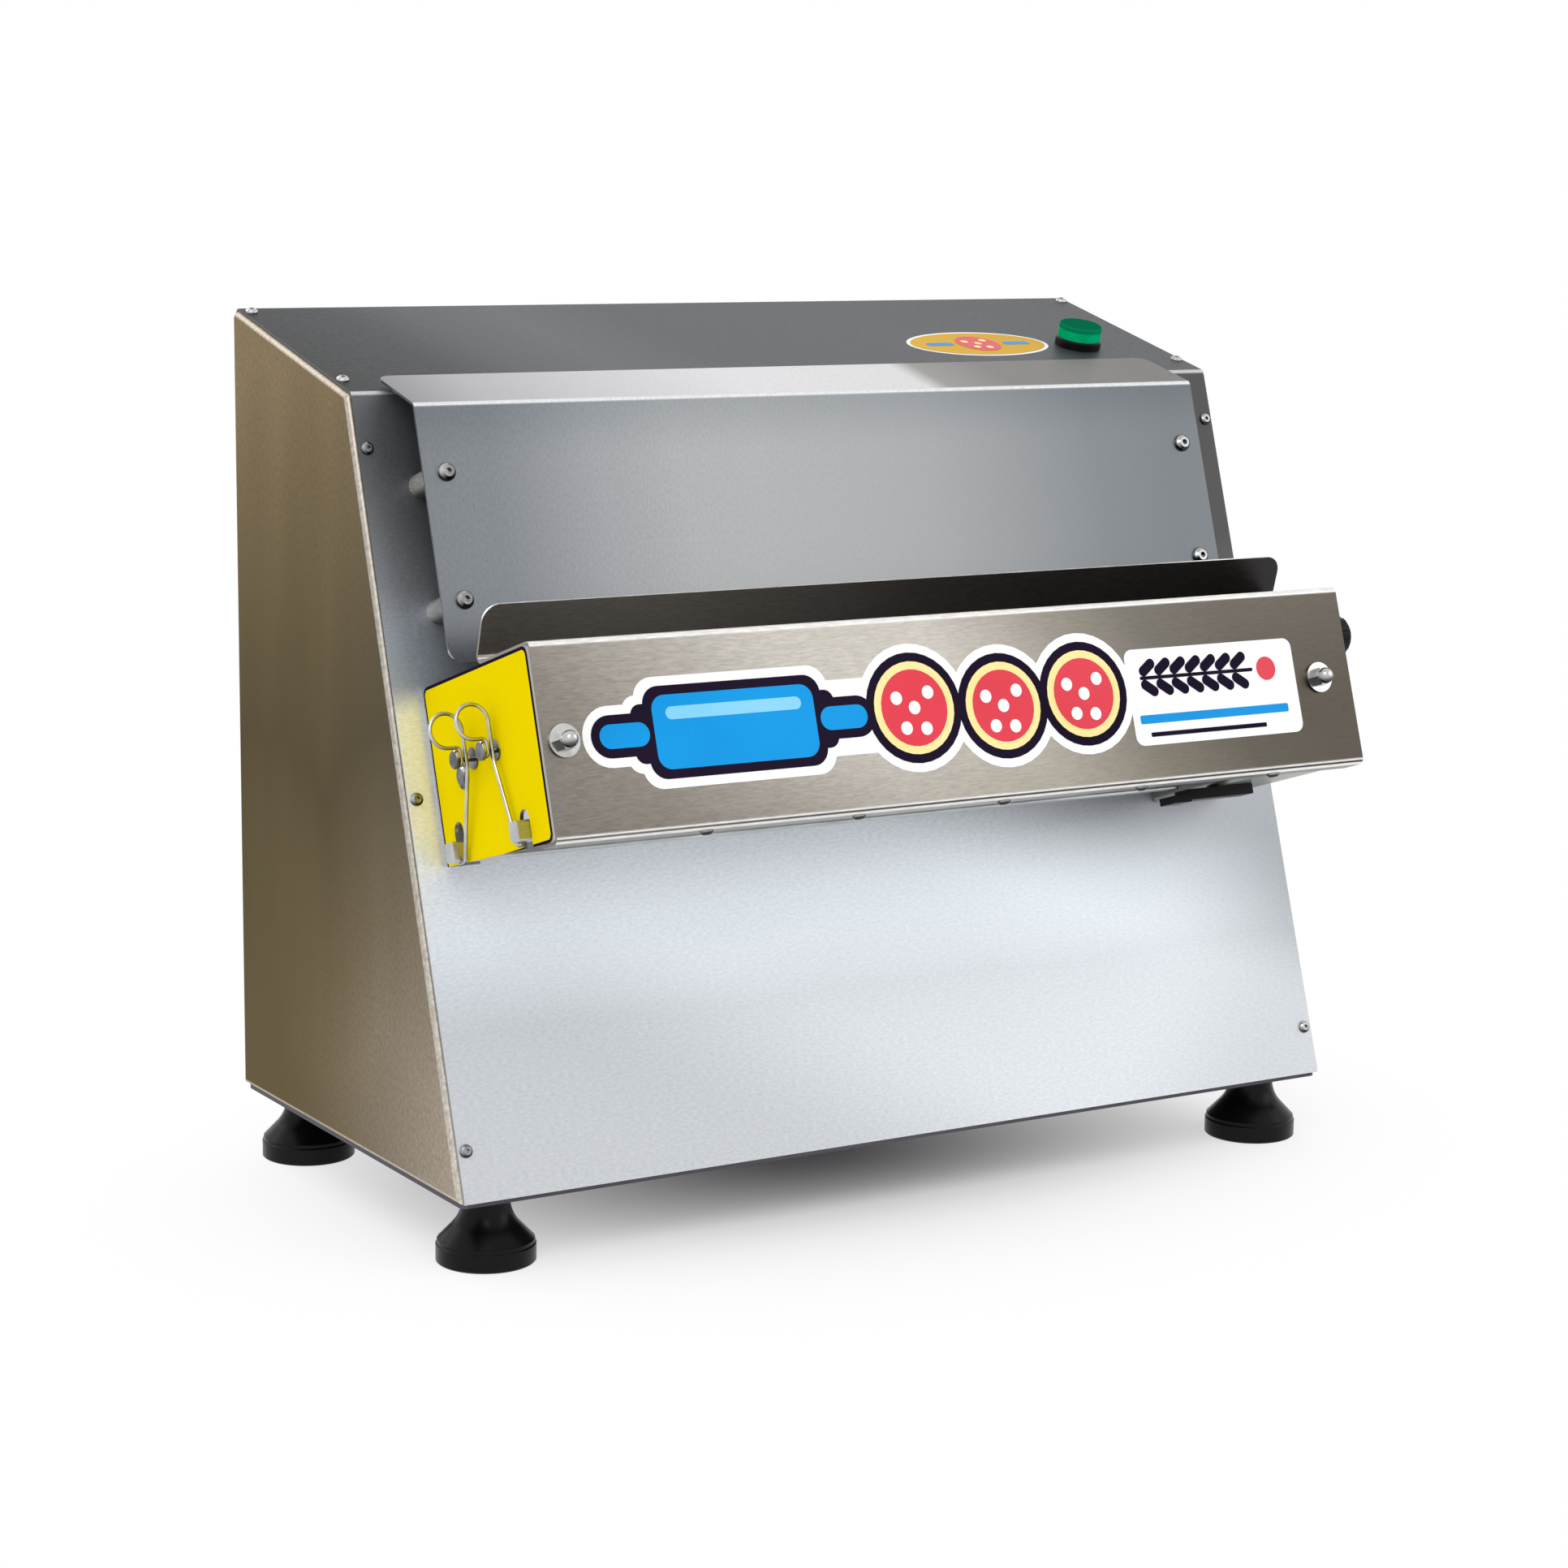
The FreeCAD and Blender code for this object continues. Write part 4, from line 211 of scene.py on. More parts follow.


# Turned, cast, moulded or painted: one tone that wanders a little, with its own grain; where a
# look asks, painted light and shade on the faces turned one way.
def plainFinish(name, look):
    material, tree, coords = newMaterial(name)
    place = coords.outputs["Object"]
    specks = stretchedNoise(tree, place, look["grainScale"], grain["detail"],
                            grain["noiseRoughness"])
    patches = addNode(tree, "ShaderNodeTexNoise",
                      {"Scale": look["patchScale"], "Detail": patchDetail}, {"Vector": place})
    blend = addNode(tree, "ShaderNodeMath", {"operation": "MULTIPLY_ADD", 1: grain["share"]},
                    {0: specks, 2: patches.outputs["Fac"]})
    tone = addNode(tree, "ShaderNodeMix",
                   {"data_type": "RGBA", 6: linear(look["dark"]), 7: linear(look["light"])},
                   {0: carry(tree, blend.outputs[0], grain["span"])})
    colour = tone.outputs[2]
    if "bandTone" in look:
        # another tone above a height along the top's direction
        above = carry(tree, reach(tree, place, topWay), look["bandRange"])
        colour = overlay(tree, above, colour, linear(look["bandTone"]))
    if "paintedFacingTone" in look:
        # painted light and shade: another tone on the faces turned towards a direction
        turned = carry(tree, reach(tree, coords.outputs["Normal"], look["paintedFacingWay"]),
                       look["paintedFacingRange"], course="SMOOTHSTEP")
        colour = overlay(tree, turned, colour, linear(look["paintedFacingTone"]))
    rough = carry(tree, specks, noiseSpan, (look["roughness"] * (1 - grain["sheen"]),
                                            look["roughness"] * (1 + grain["sheen"])))
    bump = addNode(tree, "ShaderNodeBump", {"Strength": look["bump"], "Distance": look["depth"]},
                   {"Height": specks})
    shader = addNode(tree, "ShaderNodeBsdfPrincipled",
                     {"Metallic": look.get("metallic", 0.0), **look.get("shader", {})},
                     {"Base Color": colour, "Roughness": rough, "Normal": bump.outputs[0]})
    finishMaterial(tree, shader)
    return material


sheetLooks = {
    # front and top in one sheet, matt: part of its light scatters as from paint
    # painted reflections and shade: pale low on the front, darker high up and towards its edges;
    # the top painted dark grey, darkest at its left end
    "frontSheetSteel": {
        "frame": slopeFrame, "gritScale": (300, 600, 750), "cloudScale": (3, 3, 9),
        "rampWay": upWay, "rampRange": (0.0, 0.452), "wander": 0.08,
        "paintedLightTones": [(0.08, "d5d9dd"), (0.24, "d2d7dc"), (0.36, "ecf3fa"), (0.5, "f4f8ff"),
                  (0.635, "ecf2fc"), (0.665, "b4bcc6"), (0.76, "a5abb3"), (0.8, "989ca1"),
                  (1.0, "92969a")],
        "ends": [{"way": (1, 0, 2.2), "span": (0.38, 0.64), "tone": "adadad"},
                 {"way": (1, 0, -0.8), "span": (0.12, 0.26), "tone": "ececec"},
                 {"way": (-1, 0, -2), "span": (-0.12, 0.08), "tone": "e9e9e9"},
                 {"way": (1, 0, 1), "span": (0.52, 0.62), "tone": "c2bab4"}],
        "parts": [{"faces": topWay, "rampWay": (1, 0.2, 0), "rampRange": (-0.3, 0.3),
                   "paintedLightTones": [(0.02, "1c1e20"), (0.14, "33363a"), (0.22, "505357"),
                             (0.32, "5c6064"), (0.45, "505357"), (0.7, "505357"),
                             (1.0, "484b4f")]}],
        "flats": [frontWay, topWay, backWay, acrossWay], "bendHighlightTone": "d8dadb", "bendHighlightShare": 0.8,
        "gritDepth": 0.1, "roughness": 0.46, "metallic": 0.64,
    },
    # left side: the same sheet, painted with a warm reflection and streaks of painted sheen, its
    # glancing reflection tinted warm, paler towards its front edge
    "sideSheetSteel": {
        "frame": baseFrame, "gritScale": (400, 450, 330), "cloudScale": (3, 16, 2.5),
        "rampWay": (0, 0.2, 0.9), "rampRange": (0.0, 0.5), "wander": 0.22,
        "paintedLightTones": [(0.1, "dfd3c7"), (0.26, "e1d3c4"), (0.39, "bfb19f"), (0.6, "847b70"),
                  (0.7, "a19688"), (0.9, "dbccbd"), (1.02, "faeadc")],
        "ends": [{"way": (0, 0.952, 0.144), "span": (0.04, 0.22), "tone": "dfd2b5"},
                 {"way": (0, 1, -0.8), "span": (0.05, 0.25), "tone": "bcb9b2"},
                 {"way": (0, 1, 0.2), "span": (-0.2, 0.12), "tone": "949494"}],
        "flats": [acrossWay, frontWay, topWay, backWay, upWay], "bendHighlightTone": "d6d0c6",
        "bendHighlightShare": 0.6, "gritDepth": 0.26, "roughness": 0.4, "metallic": 1.0,
        "glanceTone": "fff4db",
    },
    # feed chute: finer grit; painted reflection paler in its middle and darker to its sides, a
    # little painted shade near its top, and a bright band of painted reflection where its top is
    # folded back
    "chuteSteel": {
        "frame": slopeFrame, "gritScale": (700, 600, 350), "cloudScale": (7, 3, 2),
        "rampWay": acrossWay, "rampRange": (-0.277, 0.257), "wander": 0.08,
        "paintedLightTones": [(0.0, "7a7e82"), (0.12, "7f8387"), (0.24, "95989b"), (0.34, "9d9fa0"),
                  (0.44, "9b9d9e"), (0.54, "949697"), (0.66, "8c8e90"), (0.88, "6d7174"),
                  (1.05, "666a6d")],
        "ends": [{"way": upWay, "span": (0.40, 0.44), "tone": "e6e9ec"}],
        "parts": [{"faces": topWay,
                   "paintedLightTones": [(0.04, "8c8b90"), (0.13, "b4b3b7"), (0.25, "c9c8cb"),
                             (0.45, "e0dfe2"), (0.6, "dfdedf"), (0.68, "dddcdc"),
                             (0.71, "92908c"), (0.8, "75726f"), (0.95, "6e6b68"),
                             (1.05, "686663")]}],
        "flats": [frontWay, topWay, acrossWay], "bendHighlightTone": "f1f1f1", "bendHighlightShare": 0.9,
        "gritDepth": 0.09, "roughness": 0.34, "metallic": 1.0,
    },
    # roller box: brushed along its length; a painted highlight slants across its face, painted
    # shade darkens it towards its lower right, and its lip is painted dark as the shade of the
    # chute
    "boxSteel": {
        "frame": slopeFrame, "gritScale": (160, 600, 1100), "cloudScale": (4, 3, 4),
        "rampWay": (1, 0, 0.9), "rampRange": (-0.1, 0.44), "wander": 0.08,
        "paintedLightTones": [(0.0, "7b766e"), (0.15, "88827a"), (0.42, "bab5ad"), (0.6, "b3aea6"),
                  (0.75, "87827a"), (0.88, "6a665f"), (1.05, "625d56")],
        "ends": [{"way": (0.3, 0, -1), "span": (-0.29, -0.13), "tone": "cbc8c3"}],
        "parts": [{"faces": way, "rampWay": acrossWay, "rampRange": (-0.28, 0.26),
                   "paintedLightTones": [(0.0, "6d6b6a"), (0.12, "686665"), (0.25, "5b5958"),
                             (0.37, "4f4d4c"), (0.5, "454343"), (0.75, "484646"),
                             (1.0, "363434")]}
                  for way in (lipWay, tuple(-c for c in lipWay))],
        "flats": [frontWay, upSlopeWay, lipWay, acrossWay], "bendHighlightTone": "f4f2ef",
        "bendHighlightShare": 0.95, "gritDepth": 0.14, "roughness": 0.33, "metallic": 1.0,
    },
    # inner plates and the back: mill finish, even but for a faint painted sheen up the slope
    "innerSheetSteel": {
        "frame": slopeFrame, "gritScale": (40, 600, 1200), "cloudScale": (4, 3, 4),
        "rampWay": upWay, "rampRange": (0.0, 0.45), "wander": 0.3,
        "paintedLightTones": [(0.1, "8b8984"), (0.6, "9b9994"), (1.0, "908e89")],
        "flats": [acrossWay, frontWay, upSlopeWay, backWay, upWay], "bendHighlightTone": "c4c2be",
        "bendHighlightShare": 0.5, "gritDepth": 0.06, "roughness": 0.36, "metallic": 1.0,
    },
    # base pan: mill finish painted dark for the shade under the machine that it mirrors
    "baseSheetSteel": {
        "frame": baseFrame, "gritScale": (40, 600, 1200), "cloudScale": (4, 3, 4),
        "rampWay": acrossWay, "rampRange": (-0.3, 0.3), "wander": 0.3,
        "paintedLightTones": [(0.1, "4b4850"), (0.6, "5a575e"), (1.0, "514e55")],
        "flats": [acrossWay, backWay, upWay], "bendHighlightTone": "6c6970",
        "bendHighlightShare": 0.5, "gritDepth": 0.06, "roughness": 0.42, "metallic": 1.0,
    },
}

# the right side without the painted warm reflection of the left one: neutral painted reflection,
# paler towards its front edge
sheetLooks["rightSheetSteel"] = {
    **sheetLooks["sideSheetSteel"], "glanceTone": "ffffff",
    "paintedLightTones": [(0.1, "b0afab"), (0.26, "aeada8"), (0.39, "989792"), (0.6, "807f7a"),
              (0.7, "8b8a85"), (0.9, "a5a39e"), (1.02, "b6b4ae")],
    "ends": [{"way": (0, 1, -0.8), "span": (0.05, 0.25), "tone": "bababa"},
             {"way": (0, 1, 0.2), "span": (-0.2, 0.12), "tone": "a4a4a4"}],
}

# height of the lamp's lens along the top's direction, and where its side darkens under the rim
lensTop = max(Vector(topWay).dot(vert.co) for vert in nodes["lamp_lens"].data.vertices)
lensRim = (lensTop - 0.0038, lensTop - 0.003)

metal = {"metallic": 1.0, "depth": 0.0001}
enamel = {"grainScale": (500, 500, 500), "patchScale": 20, "bump": 0.1, "depth": 0.0003}
vinyl = {"grainScale": (900, 900, 900), "patchScale": 12, "roughness": 0.34, "bump": 0.03,
         "depth": 0.0001}
mattVinyl = {**vinyl, "shader": {"Specular IOR Level": 0.0}}
satinVinyl = {**vinyl, "shader": {"Specular IOR Level": 0.1}}

plainLooks = {
    # polished A2 stainless: nearly a mirror, with turning marks; painted shade on its faces turned
    # down
    "polishedScrewSteel": {**metal, "dark": "a9a9a8", "light": "d6d6d5",
                           "grainScale": (400, 400, 400), "patchScale": 60, "roughness": 0.16,
                           "bump": 0.05, "paintedFacingTone": "4c4c4c", "paintedFacingWay": (0.2, 0.1, -1),
                           "paintedFacingRange": (-0.45, 0.4)},
    # button heads, cold formed and tumbled: grey, softly shining; painted shade on their faces
    # turned down
    "tumbledScrewSteel": {**metal, "dark": "929292", "light": "bcbcbc",
                          "grainScale": (700, 700, 700), "patchScale": 90, "roughness": 0.2,
                          "bump": 0.08, "paintedFacingTone": "383838", "paintedFacingWay": (0.3, 0.1, -1),
                          "paintedFacingRange": (-0.6, 0.15)},
    # turned spacers: bare pale steel, part diffuse, painted bright in the gap behind the chute,
    # with painted shade on their faces turned down
    "turnedSpacerSteel": {**metal, "dark": "94928e", "light": "c6c4bf",
                          "grainScale": (900, 60, 900), "patchScale": 60, "roughness": 0.3,
                          "bump": 0.05, "metallic": 0.4, "paintedFacingTone": "55534f",
                          "paintedFacingWay": (0.2, 0, -1), "paintedFacingRange": (0.1, 0.8)},
    # turned pins: dark, with a painted highlight on their faces turned up and forward
    "turnedPinSteel": {**metal, "dark": "2e2e30", "light": "8a8a8a",
                       "grainScale": (1500, 60, 60), "patchScale": 120, "roughness": 0.2,
                       "bump": 0.08, "paintedFacingTone": "d8d8d8", "paintedFacingWay": (0, -0.5, 1),
                       "paintedFacingRange": (0.5, 0.95)},
    # drawn spring wire: smooth with fine draw lines, a little grey; painted shade on its faces
    # turned down
    "springWireSteel": {**metal, "dark": "a0a09e", "light": "cfcfcc",
                        "grainScale": (700, 700, 120), "patchScale": 90, "roughness": 0.22,
                        "bump": 0.06, "paintedFacingTone": "3c3c3a", "paintedFacingWay": (0.4, 0.3, -0.9),
                        "paintedFacingRange": (-0.4, 0.45)},
    # ground bright steel bar: fine rings round its length
    "groundBarSteel": {**metal, "dark": "8d8e90", "light": "b4b5b7",
                       "grainScale": (1400, 90, 90), "patchScale": 30, "roughness": 0.3,
                       "bump": 0.1},
    # turned acetal: milk white with faint rings from the lathe
    "turnedAcetal": {"dark": "dcdad2", "light": "efede6", "grainScale": (1000, 40, 40),
                     "patchScale": 14, "roughness": 0.42, "bump": 0.08, "depth": 0.0002,
                     "shader": {"IOR": 1.48}},
    # sintered bronze: warm, open grain
    "bearingBronze": {**metal, "dark": "8d6a3a", "light": "b58c52",
                      "grainScale": (900, 900, 900), "patchScale": 60, "roughness": 0.38,
                      "bump": 0.15},
    # sawn and milled aluminium: pale, with cutter marks
    "milledAluminium": {**metal, "dark": "9fa1a3", "light": "cfd0d1",
                        "grainScale": (60, 900, 900), "patchScale": 25, "roughness": 0.32,
                        "bump": 0.12},
    # baked enamel on the motor: dark, softly shining, orange peel 2 mm across
    "motorEnamel": {**enamel, "dark": "2b3440", "light": "37424f", "roughness": 0.36,
                    "shader": {"Coat Weight": 0.2}},
    # the same enamel in grey on the motor's bracket, duller
    "bracketEnamel": {**enamel, "dark": "45474a", "light": "55575a", "roughness": 0.42},
    # moulded black nylon feet: satin, spark eroded grain half a millimetre across
    "footNylon": {"dark": "030304", "light": "09090b", "grainScale": (1800, 1800, 1800),
                  "patchScale": 30, "roughness": 0.28, "bump": 0.12, "depth": 0.0001,
                  "shader": {"IOR": 1.53, "Specular IOR Level": 0.14}},
    # belt rubber: dull, dusty
    "beltRubber": {"dark": "151515", "light": "232322", "grainScale": (1200, 1200, 1200),
                   "patchScale": 40, "roughness": 0.7, "bump": 0.2, "depth": 0.0002},
    # moulded black ABS: low gloss
    "blackAbs": {"dark": "09090a", "light": "121214", "grainScale": (1600, 1600, 1600),
                 "patchScale": 50, "roughness": 0.3, "bump": 0.08, "depth": 0.0001,
                 "shader": {"IOR": 1.54, "Specular IOR Level": 0.12}},
    # clear green polycarbonate over a lamp: bright in its side, with painted shade on its top and
    # a darker band round its side under the rim
    "lensPolycarbonate": {"dark": "00a868", "light": "02c485", "grainScale": (30, 30, 900),
                          "patchScale": 80, "roughness": 0.2, "bump": 0.1, "depth": 0.0002,
                          "paintedFacingTone": "0a6546", "paintedFacingWay": topWay, "paintedFacingRange": (0.6, 0.9),
                          "bandTone": "05835a", "bandRange": lensRim,
                          "shader": {"IOR": 1.58, "Specular IOR Level": 0.0}},
    # printed vinyl film: flat even ink under a satin laminate
    "yellowVinyl": {**mattVinyl, "dark": "e8cf00", "light": "f0d808", "patchScale": 9,
                    "roughness": 0.42},
    "amberVinyl": {**satinVinyl, "dark": "cf9f10", "light": "dcae22", "patchScale": 9,
                   "roughness": 0.42},
    "whiteVinyl": {**vinyl, "dark": "ececec", "light": "f7f7f7"},
    "darkVinyl": {**mattVinyl, "dark": "1c1526", "light": "241b2e"},
    "blueVinyl": {**satinVinyl, "dark": "058bd4", "light": "0f98e0"},
    "skyVinyl": {**vinyl, "dark": "6cc4f2", "light": "84cff6"},
    "redVinyl": {**vinyl, "dark": "d3122f", "light": "e01f3c"},
    "creamVinyl": {**vinyl, "dark": "f4dc8a", "light": "fae7a2"},
}

materials = {name: brushedSheet(name, look) for name, look in sheetLooks.items()}
materials.update({name: plainFinish(name, look) for name, look in plainLooks.items()})
print("materials", len(materials))

nodeFinishes = {
    "frontSheetSteel": ["front_top_cover"],
    "sideSheetSteel": ["left_side_panel"],
    "rightSheetSteel": ["right_side_panel"],
    "chuteSteel": ["feed_chute"],
    "boxSteel": ["roller_cover"],
    "baseSheetSteel": ["base_pan"],
    "innerSheetSteel": ["rear_panel", "left_end_plate", "right_end_plate", "divider_plate",
                        "cover_stiffener"],
    "polishedScrewSteel": ["foot_nuts", "cover_dome_nuts", "cover_washers", "cover_studs",
                           "top_panel_screws"],
    "tumbledScrewSteel": ["front_panel_screws", "rear_panel_screws", "cover_bottom_screws",
                          "chute_screws"],
    "turnedSpacerSteel": ["chute_spacers"],
    "turnedPinSteel": ["latch_pins", "latch_washers", "rear_bearing_bolt"],
    "springWireSteel": ["rear_latch_wire", "front_latch_wire"],
    "groundBarSteel": ["rear_roller_shaft", "front_roller_shaft", "rear_roller_gear",
                       "front_roller_gear", "motor_output_shaft", "gap_cam_shaft"],
    "turnedAcetal": ["rear_roller", "front_roller", "rear_scraper_blade", "front_scraper_blade"],
    "bearingBronze": ["rear_roller_bushings"],
    "milledAluminium": ["left_bearing_carrier", "right_bearing_carrier", "front_bearing_blocks",
                        "roller_pulley", "motor_pulley", "gearbox", "rear_scraper_bar",
                        "front_scraper_bar"],
    "motorEnamel": ["motor"],
    "bracketEnamel": ["motor_bracket"],
    "footNylon": ["front_left_foot", "front_right_foot", "rear_left_foot", "rear_right_foot"],
    "beltRubber": ["drive_belt"],
    "blackAbs": ["gap_knob", "safety_switch", "switch_bezel", "power_rocker", "cable_gland",
                 "lamp_base", "lamp_nut"],
    "lensPolycarbonate": ["lamp_lens"],
}
for finish, names in nodeFinishes.items():
    for name in names:
        for slot in nodes[name].material_slots:
            slot.material = materials[finish]
print("finishes on", sum(len(names) for names in nodeFinishes.values()), "nodes")


def newObject(name, mesh, material):
    data = bpy.data.meshes.new(name)
    mesh.to_mesh(data)
    mesh.free()
    data.materials.append(material)
    made = bpy.data.objects.new(name, data)
    scene.collection.objects.link(made)
    return made


def newPiece(name, mesh, finish, body="housing"):
    piece = newObject(name, mesh, materials[finish])
    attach(piece, body)


# Films of a sticker, in metres: how thick one is, how high the lowest lies, how far the levels are
# apart, and how far each shape lies above the one before it.
film = {"thick": 0.00008, "lowest": 0.00005, "level": 0.00015, "shape": 0.000006}
fullRound = 0.499  # the most that a corner takes of the shorter side
roundSteps = {"oval": 64, "corner": 8}


# faces thickened along a way; the new vertices are given back
def thicken(mesh, faces, way):
    raised = bmesh.ops.extrude_face_region(mesh, geom=faces)
    upper = [item for item in raised["geom"] if isinstance(item, bmesh.types.BMVert)]
    bmesh.ops.translate(mesh, vec=way, verts=upper)
    return upper


# a printed shape in the plane of its sticker: place and size in mm, its corner as a share of the
# shorter side with 0.5 for a full round, and its turn in degrees
def printShape(mesh, shape, grow, lift, plane):
    x, y, width, height, corner, turn = shape
    width = (width + 2 * grow) / 1000
    height = (height + 2 * grow) / 1000
    older = set(mesh.faces)
    if corner == "oval":
        made = bmesh.ops.create_circle(mesh, cap_ends=True, segments=roundSteps["oval"],
                                       radius=0.5)
        bmesh.ops.scale(mesh, vec=(width, height, 1), verts=made["verts"])
    else:
        made = bmesh.ops.create_grid(mesh, x_segments=1, y_segments=1, size=0.5)
        bmesh.ops.scale(mesh, vec=(width, height, 1), verts=made["verts"])
        bmesh.ops.bevel(mesh, geom=made["verts"], segments=roundSteps["corner"], profile=0.5,
                        offset=min(corner, fullRound) * min(width, height),
                        affect="VERTICES", material=-1, offset_type="OFFSET")
    faces = [face for face in mesh.faces if face not in older]
    verts = {vert for face in faces for vert in face.verts}
    verts |= set(thicken(mesh, faces, (0, 0, film["thick"])))
    turned = Matrix.Rotation(math.radians(turn), 4, "Z")
    turned = Matrix.Translation((x / 1000, y / 1000, lift)) @ turned
    bmesh.ops.transform(mesh, matrix=plane @ turned, verts=[v for v in verts if v.is_valid])


# layers of a sticker, each with its finish, how much its shapes grow, its level and its shapes
def printSticker(name, plane, layers):
    for finish, grow, level, shapes in layers:
        lift = film["lowest"] + level * film["level"]
        mesh = bmesh.new()
        for i, shape in enumerate(shapes):
            printShape(mesh, shape, grow, lift + i * film["shape"], plane)
        bmesh.ops.recalc_face_normals(mesh, faces=mesh.faces)
        newPiece("%s_%s_%d" % (name, finish.replace("Vinyl", "_film"), round(lift * 1e5)),
                 mesh, finish)


# sticker on the box: a rolling pin and three pizzas on a white ground with a dark edge
boxPlane = slopeFrame @ Matrix.Translation((0, -machine["boxFace"], 0))
boxPlane = boxPlane @ Matrix.Rotation(math.pi / 2, 4, "X")
pin = {"x": -164, "y": 231, "neck": 53, "handle": 68, "shine": 10}
pinBody = (pin["x"], pin["y"], 100, 40, 0.2, 0)
pinShine = (pin["x"], pin["y"] + pin["shine"], 84, 7, 0.5, 0)
pinNecks = [(pin["x"] + side * pin["neck"], pin["y"], 10, 22, 0.3, 0) for side in (-1, 1)]
pinHandles = [(pin["x"] + side * pin["handle"], pin["y"], 30, 13, 0.5, 0) for side in (-1, 1)]
groundBridge = (-80, 231, 70, 22, 0.4, 0)
pizzas = [(-50, 233, 52, 52, 0.5, 0), (9, 230, 50, 50, 0.5, 0), (65, 233, 50, 50, 0.5, 0)]
crust = 9
sauce = [(x, y, width - crust, height - crust, *rest) for x, y, width, height, *rest in pizzas]
toppingSize = 7.5
toppings = [(x + dx, y + dy, toppingSize, toppingSize, 0.5, 0) for x, y, *rest in pizzas
            for dx, dy in ((0, 0), (10, 8), (-11, 6), (6, -12), (-7, -11))]
outline = [pinBody, *pinNecks, *pinHandles, *pizzas]
printSticker("cover_sticker", boxPlane, [
    ("whiteVinyl", 10, 0, [*outline, groundBridge]),
    ("darkVinyl", 5, 1, outline),
    ("blueVinyl", 0, 2, [pinBody, *pinHandles]),
    ("skyVinyl", 0, 3, [pinShine]),
    ("creamVinyl", 0, 2, pizzas),
    ("redVinyl", 0, 3, sauce),
    ("whiteVinyl", 0, 4, toppings),
])

# badge beside it: an ear of grain, a disc and two bars
ear = {"x": 112, "y": 239, "grains": 7, "step": 11, "rise": 6, "turn": 35}
grains = [(ear["x"] + ear["step"] * i, ear["y"] + side * ear["rise"], 13, 6, 0.5,
           side * ear["turn"]) for i in range(ear["grains"]) for side in (1, -1)]
stem = (147, ear["y"], 82, 2, 0.5, 0)
thinBar = (150, 206, 84, 2.5, 0.2, 0)
printSticker("cover_badge", boxPlane, [
    ("whiteVinyl", 0, 0, [(158, 228, 122, 56, 0.1, 0)]),
    ("darkVinyl", 0, 1, [*grains, stem, thinBar]),
    ("blueVinyl", 0, 1, [(156, 215, 108, 5, 0.2, 0)]),
    ("redVinyl", 0, 1, [(198, ear["y"], 14, 14, 0.5, 0)]),
])

# oval sticker on the top: one small pizza and two bars
oval = {"x": 165, "y": 64, "bars": 29}
printSticker("top_sticker", topFrame, [
    ("whiteVinyl", 0, 0, [(oval["x"], oval["y"], 104, 50, "oval", 0)]),
    ("amberVinyl", 0, 1, [(oval["x"], oval["y"], 99, 45, "oval", 0)]),
    ("blueVinyl", 0, 2, [(oval["x"] + side * oval["bars"], oval["y"], 20, 6, 0.5, 0)
                         for side in (-1, 1)]),
    ("redVinyl", 0, 2, [(oval["x"], oval["y"], 30, 30, "oval", 0)]),
    ("creamVinyl", 0, 3, [(oval["x"] + dx, oval["y"] + dy, 5, 5, "oval", 0)
                          for dx, dy in ((0, 0), (7, 6), (-8, 4), (4, -8), (-5, -7))]),
])
print("stickers")

# yellow label on the left end plate, in mm up the slope and out from it, cut from the plate's own
# face so that it follows its notches; the lifts are in metres
label = {"rear": 4.4, "front": 130.1, "top": 281.6, "low": 181.4, "edge": 1.8, "corner": 3.5,
         "cuts": 32, "edgeLift": 0.00005, "faceLift": 0.00015}
# distances in metres, the cosine of a face that looks left, and the angle that counts as straight
cutting = {"weld": 0.00001, "onPlane": 0.0002, "snap": 0.000001, "left": -0.99, "straight": 0.01}


def plateLabel(name, finish, grow, lift):
    mesh = bmesh.new()
    mesh.from_mesh(nodes["left_end_plate"].data)
    bmesh.ops.remove_doubles(mesh, verts=mesh.verts, dist=cutting["weld"])
    plane = machine["baseX"] + machine["boxLeft"]
    spare = [face for face in mesh.faces
             if face.normal.x > cutting["left"]
             or abs(face.calc_center_median().x - plane) > cutting["onPlane"]]
    bmesh.ops.delete(mesh, geom=spare, context="FACES")
    middle = Vector((0, -(label["front"] + label["rear"]) / 2, (label["top"] + label["low"]) / 2))
    wide = (label["front"] - label["rear"]) / 2 - label["corner"]
    tall = (label["top"] - label["low"]) / 2 - label["corner"]
    # a rounded rectangle is what is left inside the planes all round it
    for i in range(label["cuts"]):
        angle = math.radians(360 / label["cuts"] * i)
        way = Vector((0, math.cos(angle), math.sin(angle)))
        centre = Vector((0, math.copysign(wide, way.y), math.copysign(tall, way.z)))
        point = middle + centre + way * (label["corner"] + grow)
        bmesh.ops.bisect_plane(mesh, geom=mesh.verts[:] + mesh.edges[:] + mesh.faces[:],
                               dist=cutting["snap"], plane_co=slopeFrame @ (point / 1000),
                               plane_no=slopeFrame.to_3x3() @ way, clear_outer=True)
    bmesh.ops.dissolve_limit(mesh, angle_limit=cutting["straight"], verts=mesh.verts,
                             edges=mesh.edges)
    bmesh.ops.translate(mesh, vec=(-lift, 0, 0), verts=mesh.verts)
    thicken(mesh, mesh.faces[:], (-film["thick"], 0, 0))
    bmesh.ops.recalc_face_normals(mesh, faces=mesh.faces)
    newPiece(name, mesh, finish)


plateLabel("end_label_edge", "darkVinyl", label["edge"], label["edgeLift"])
plateLabel("end_label", "yellowVinyl", 0, label["faceLift"])
print("end label")

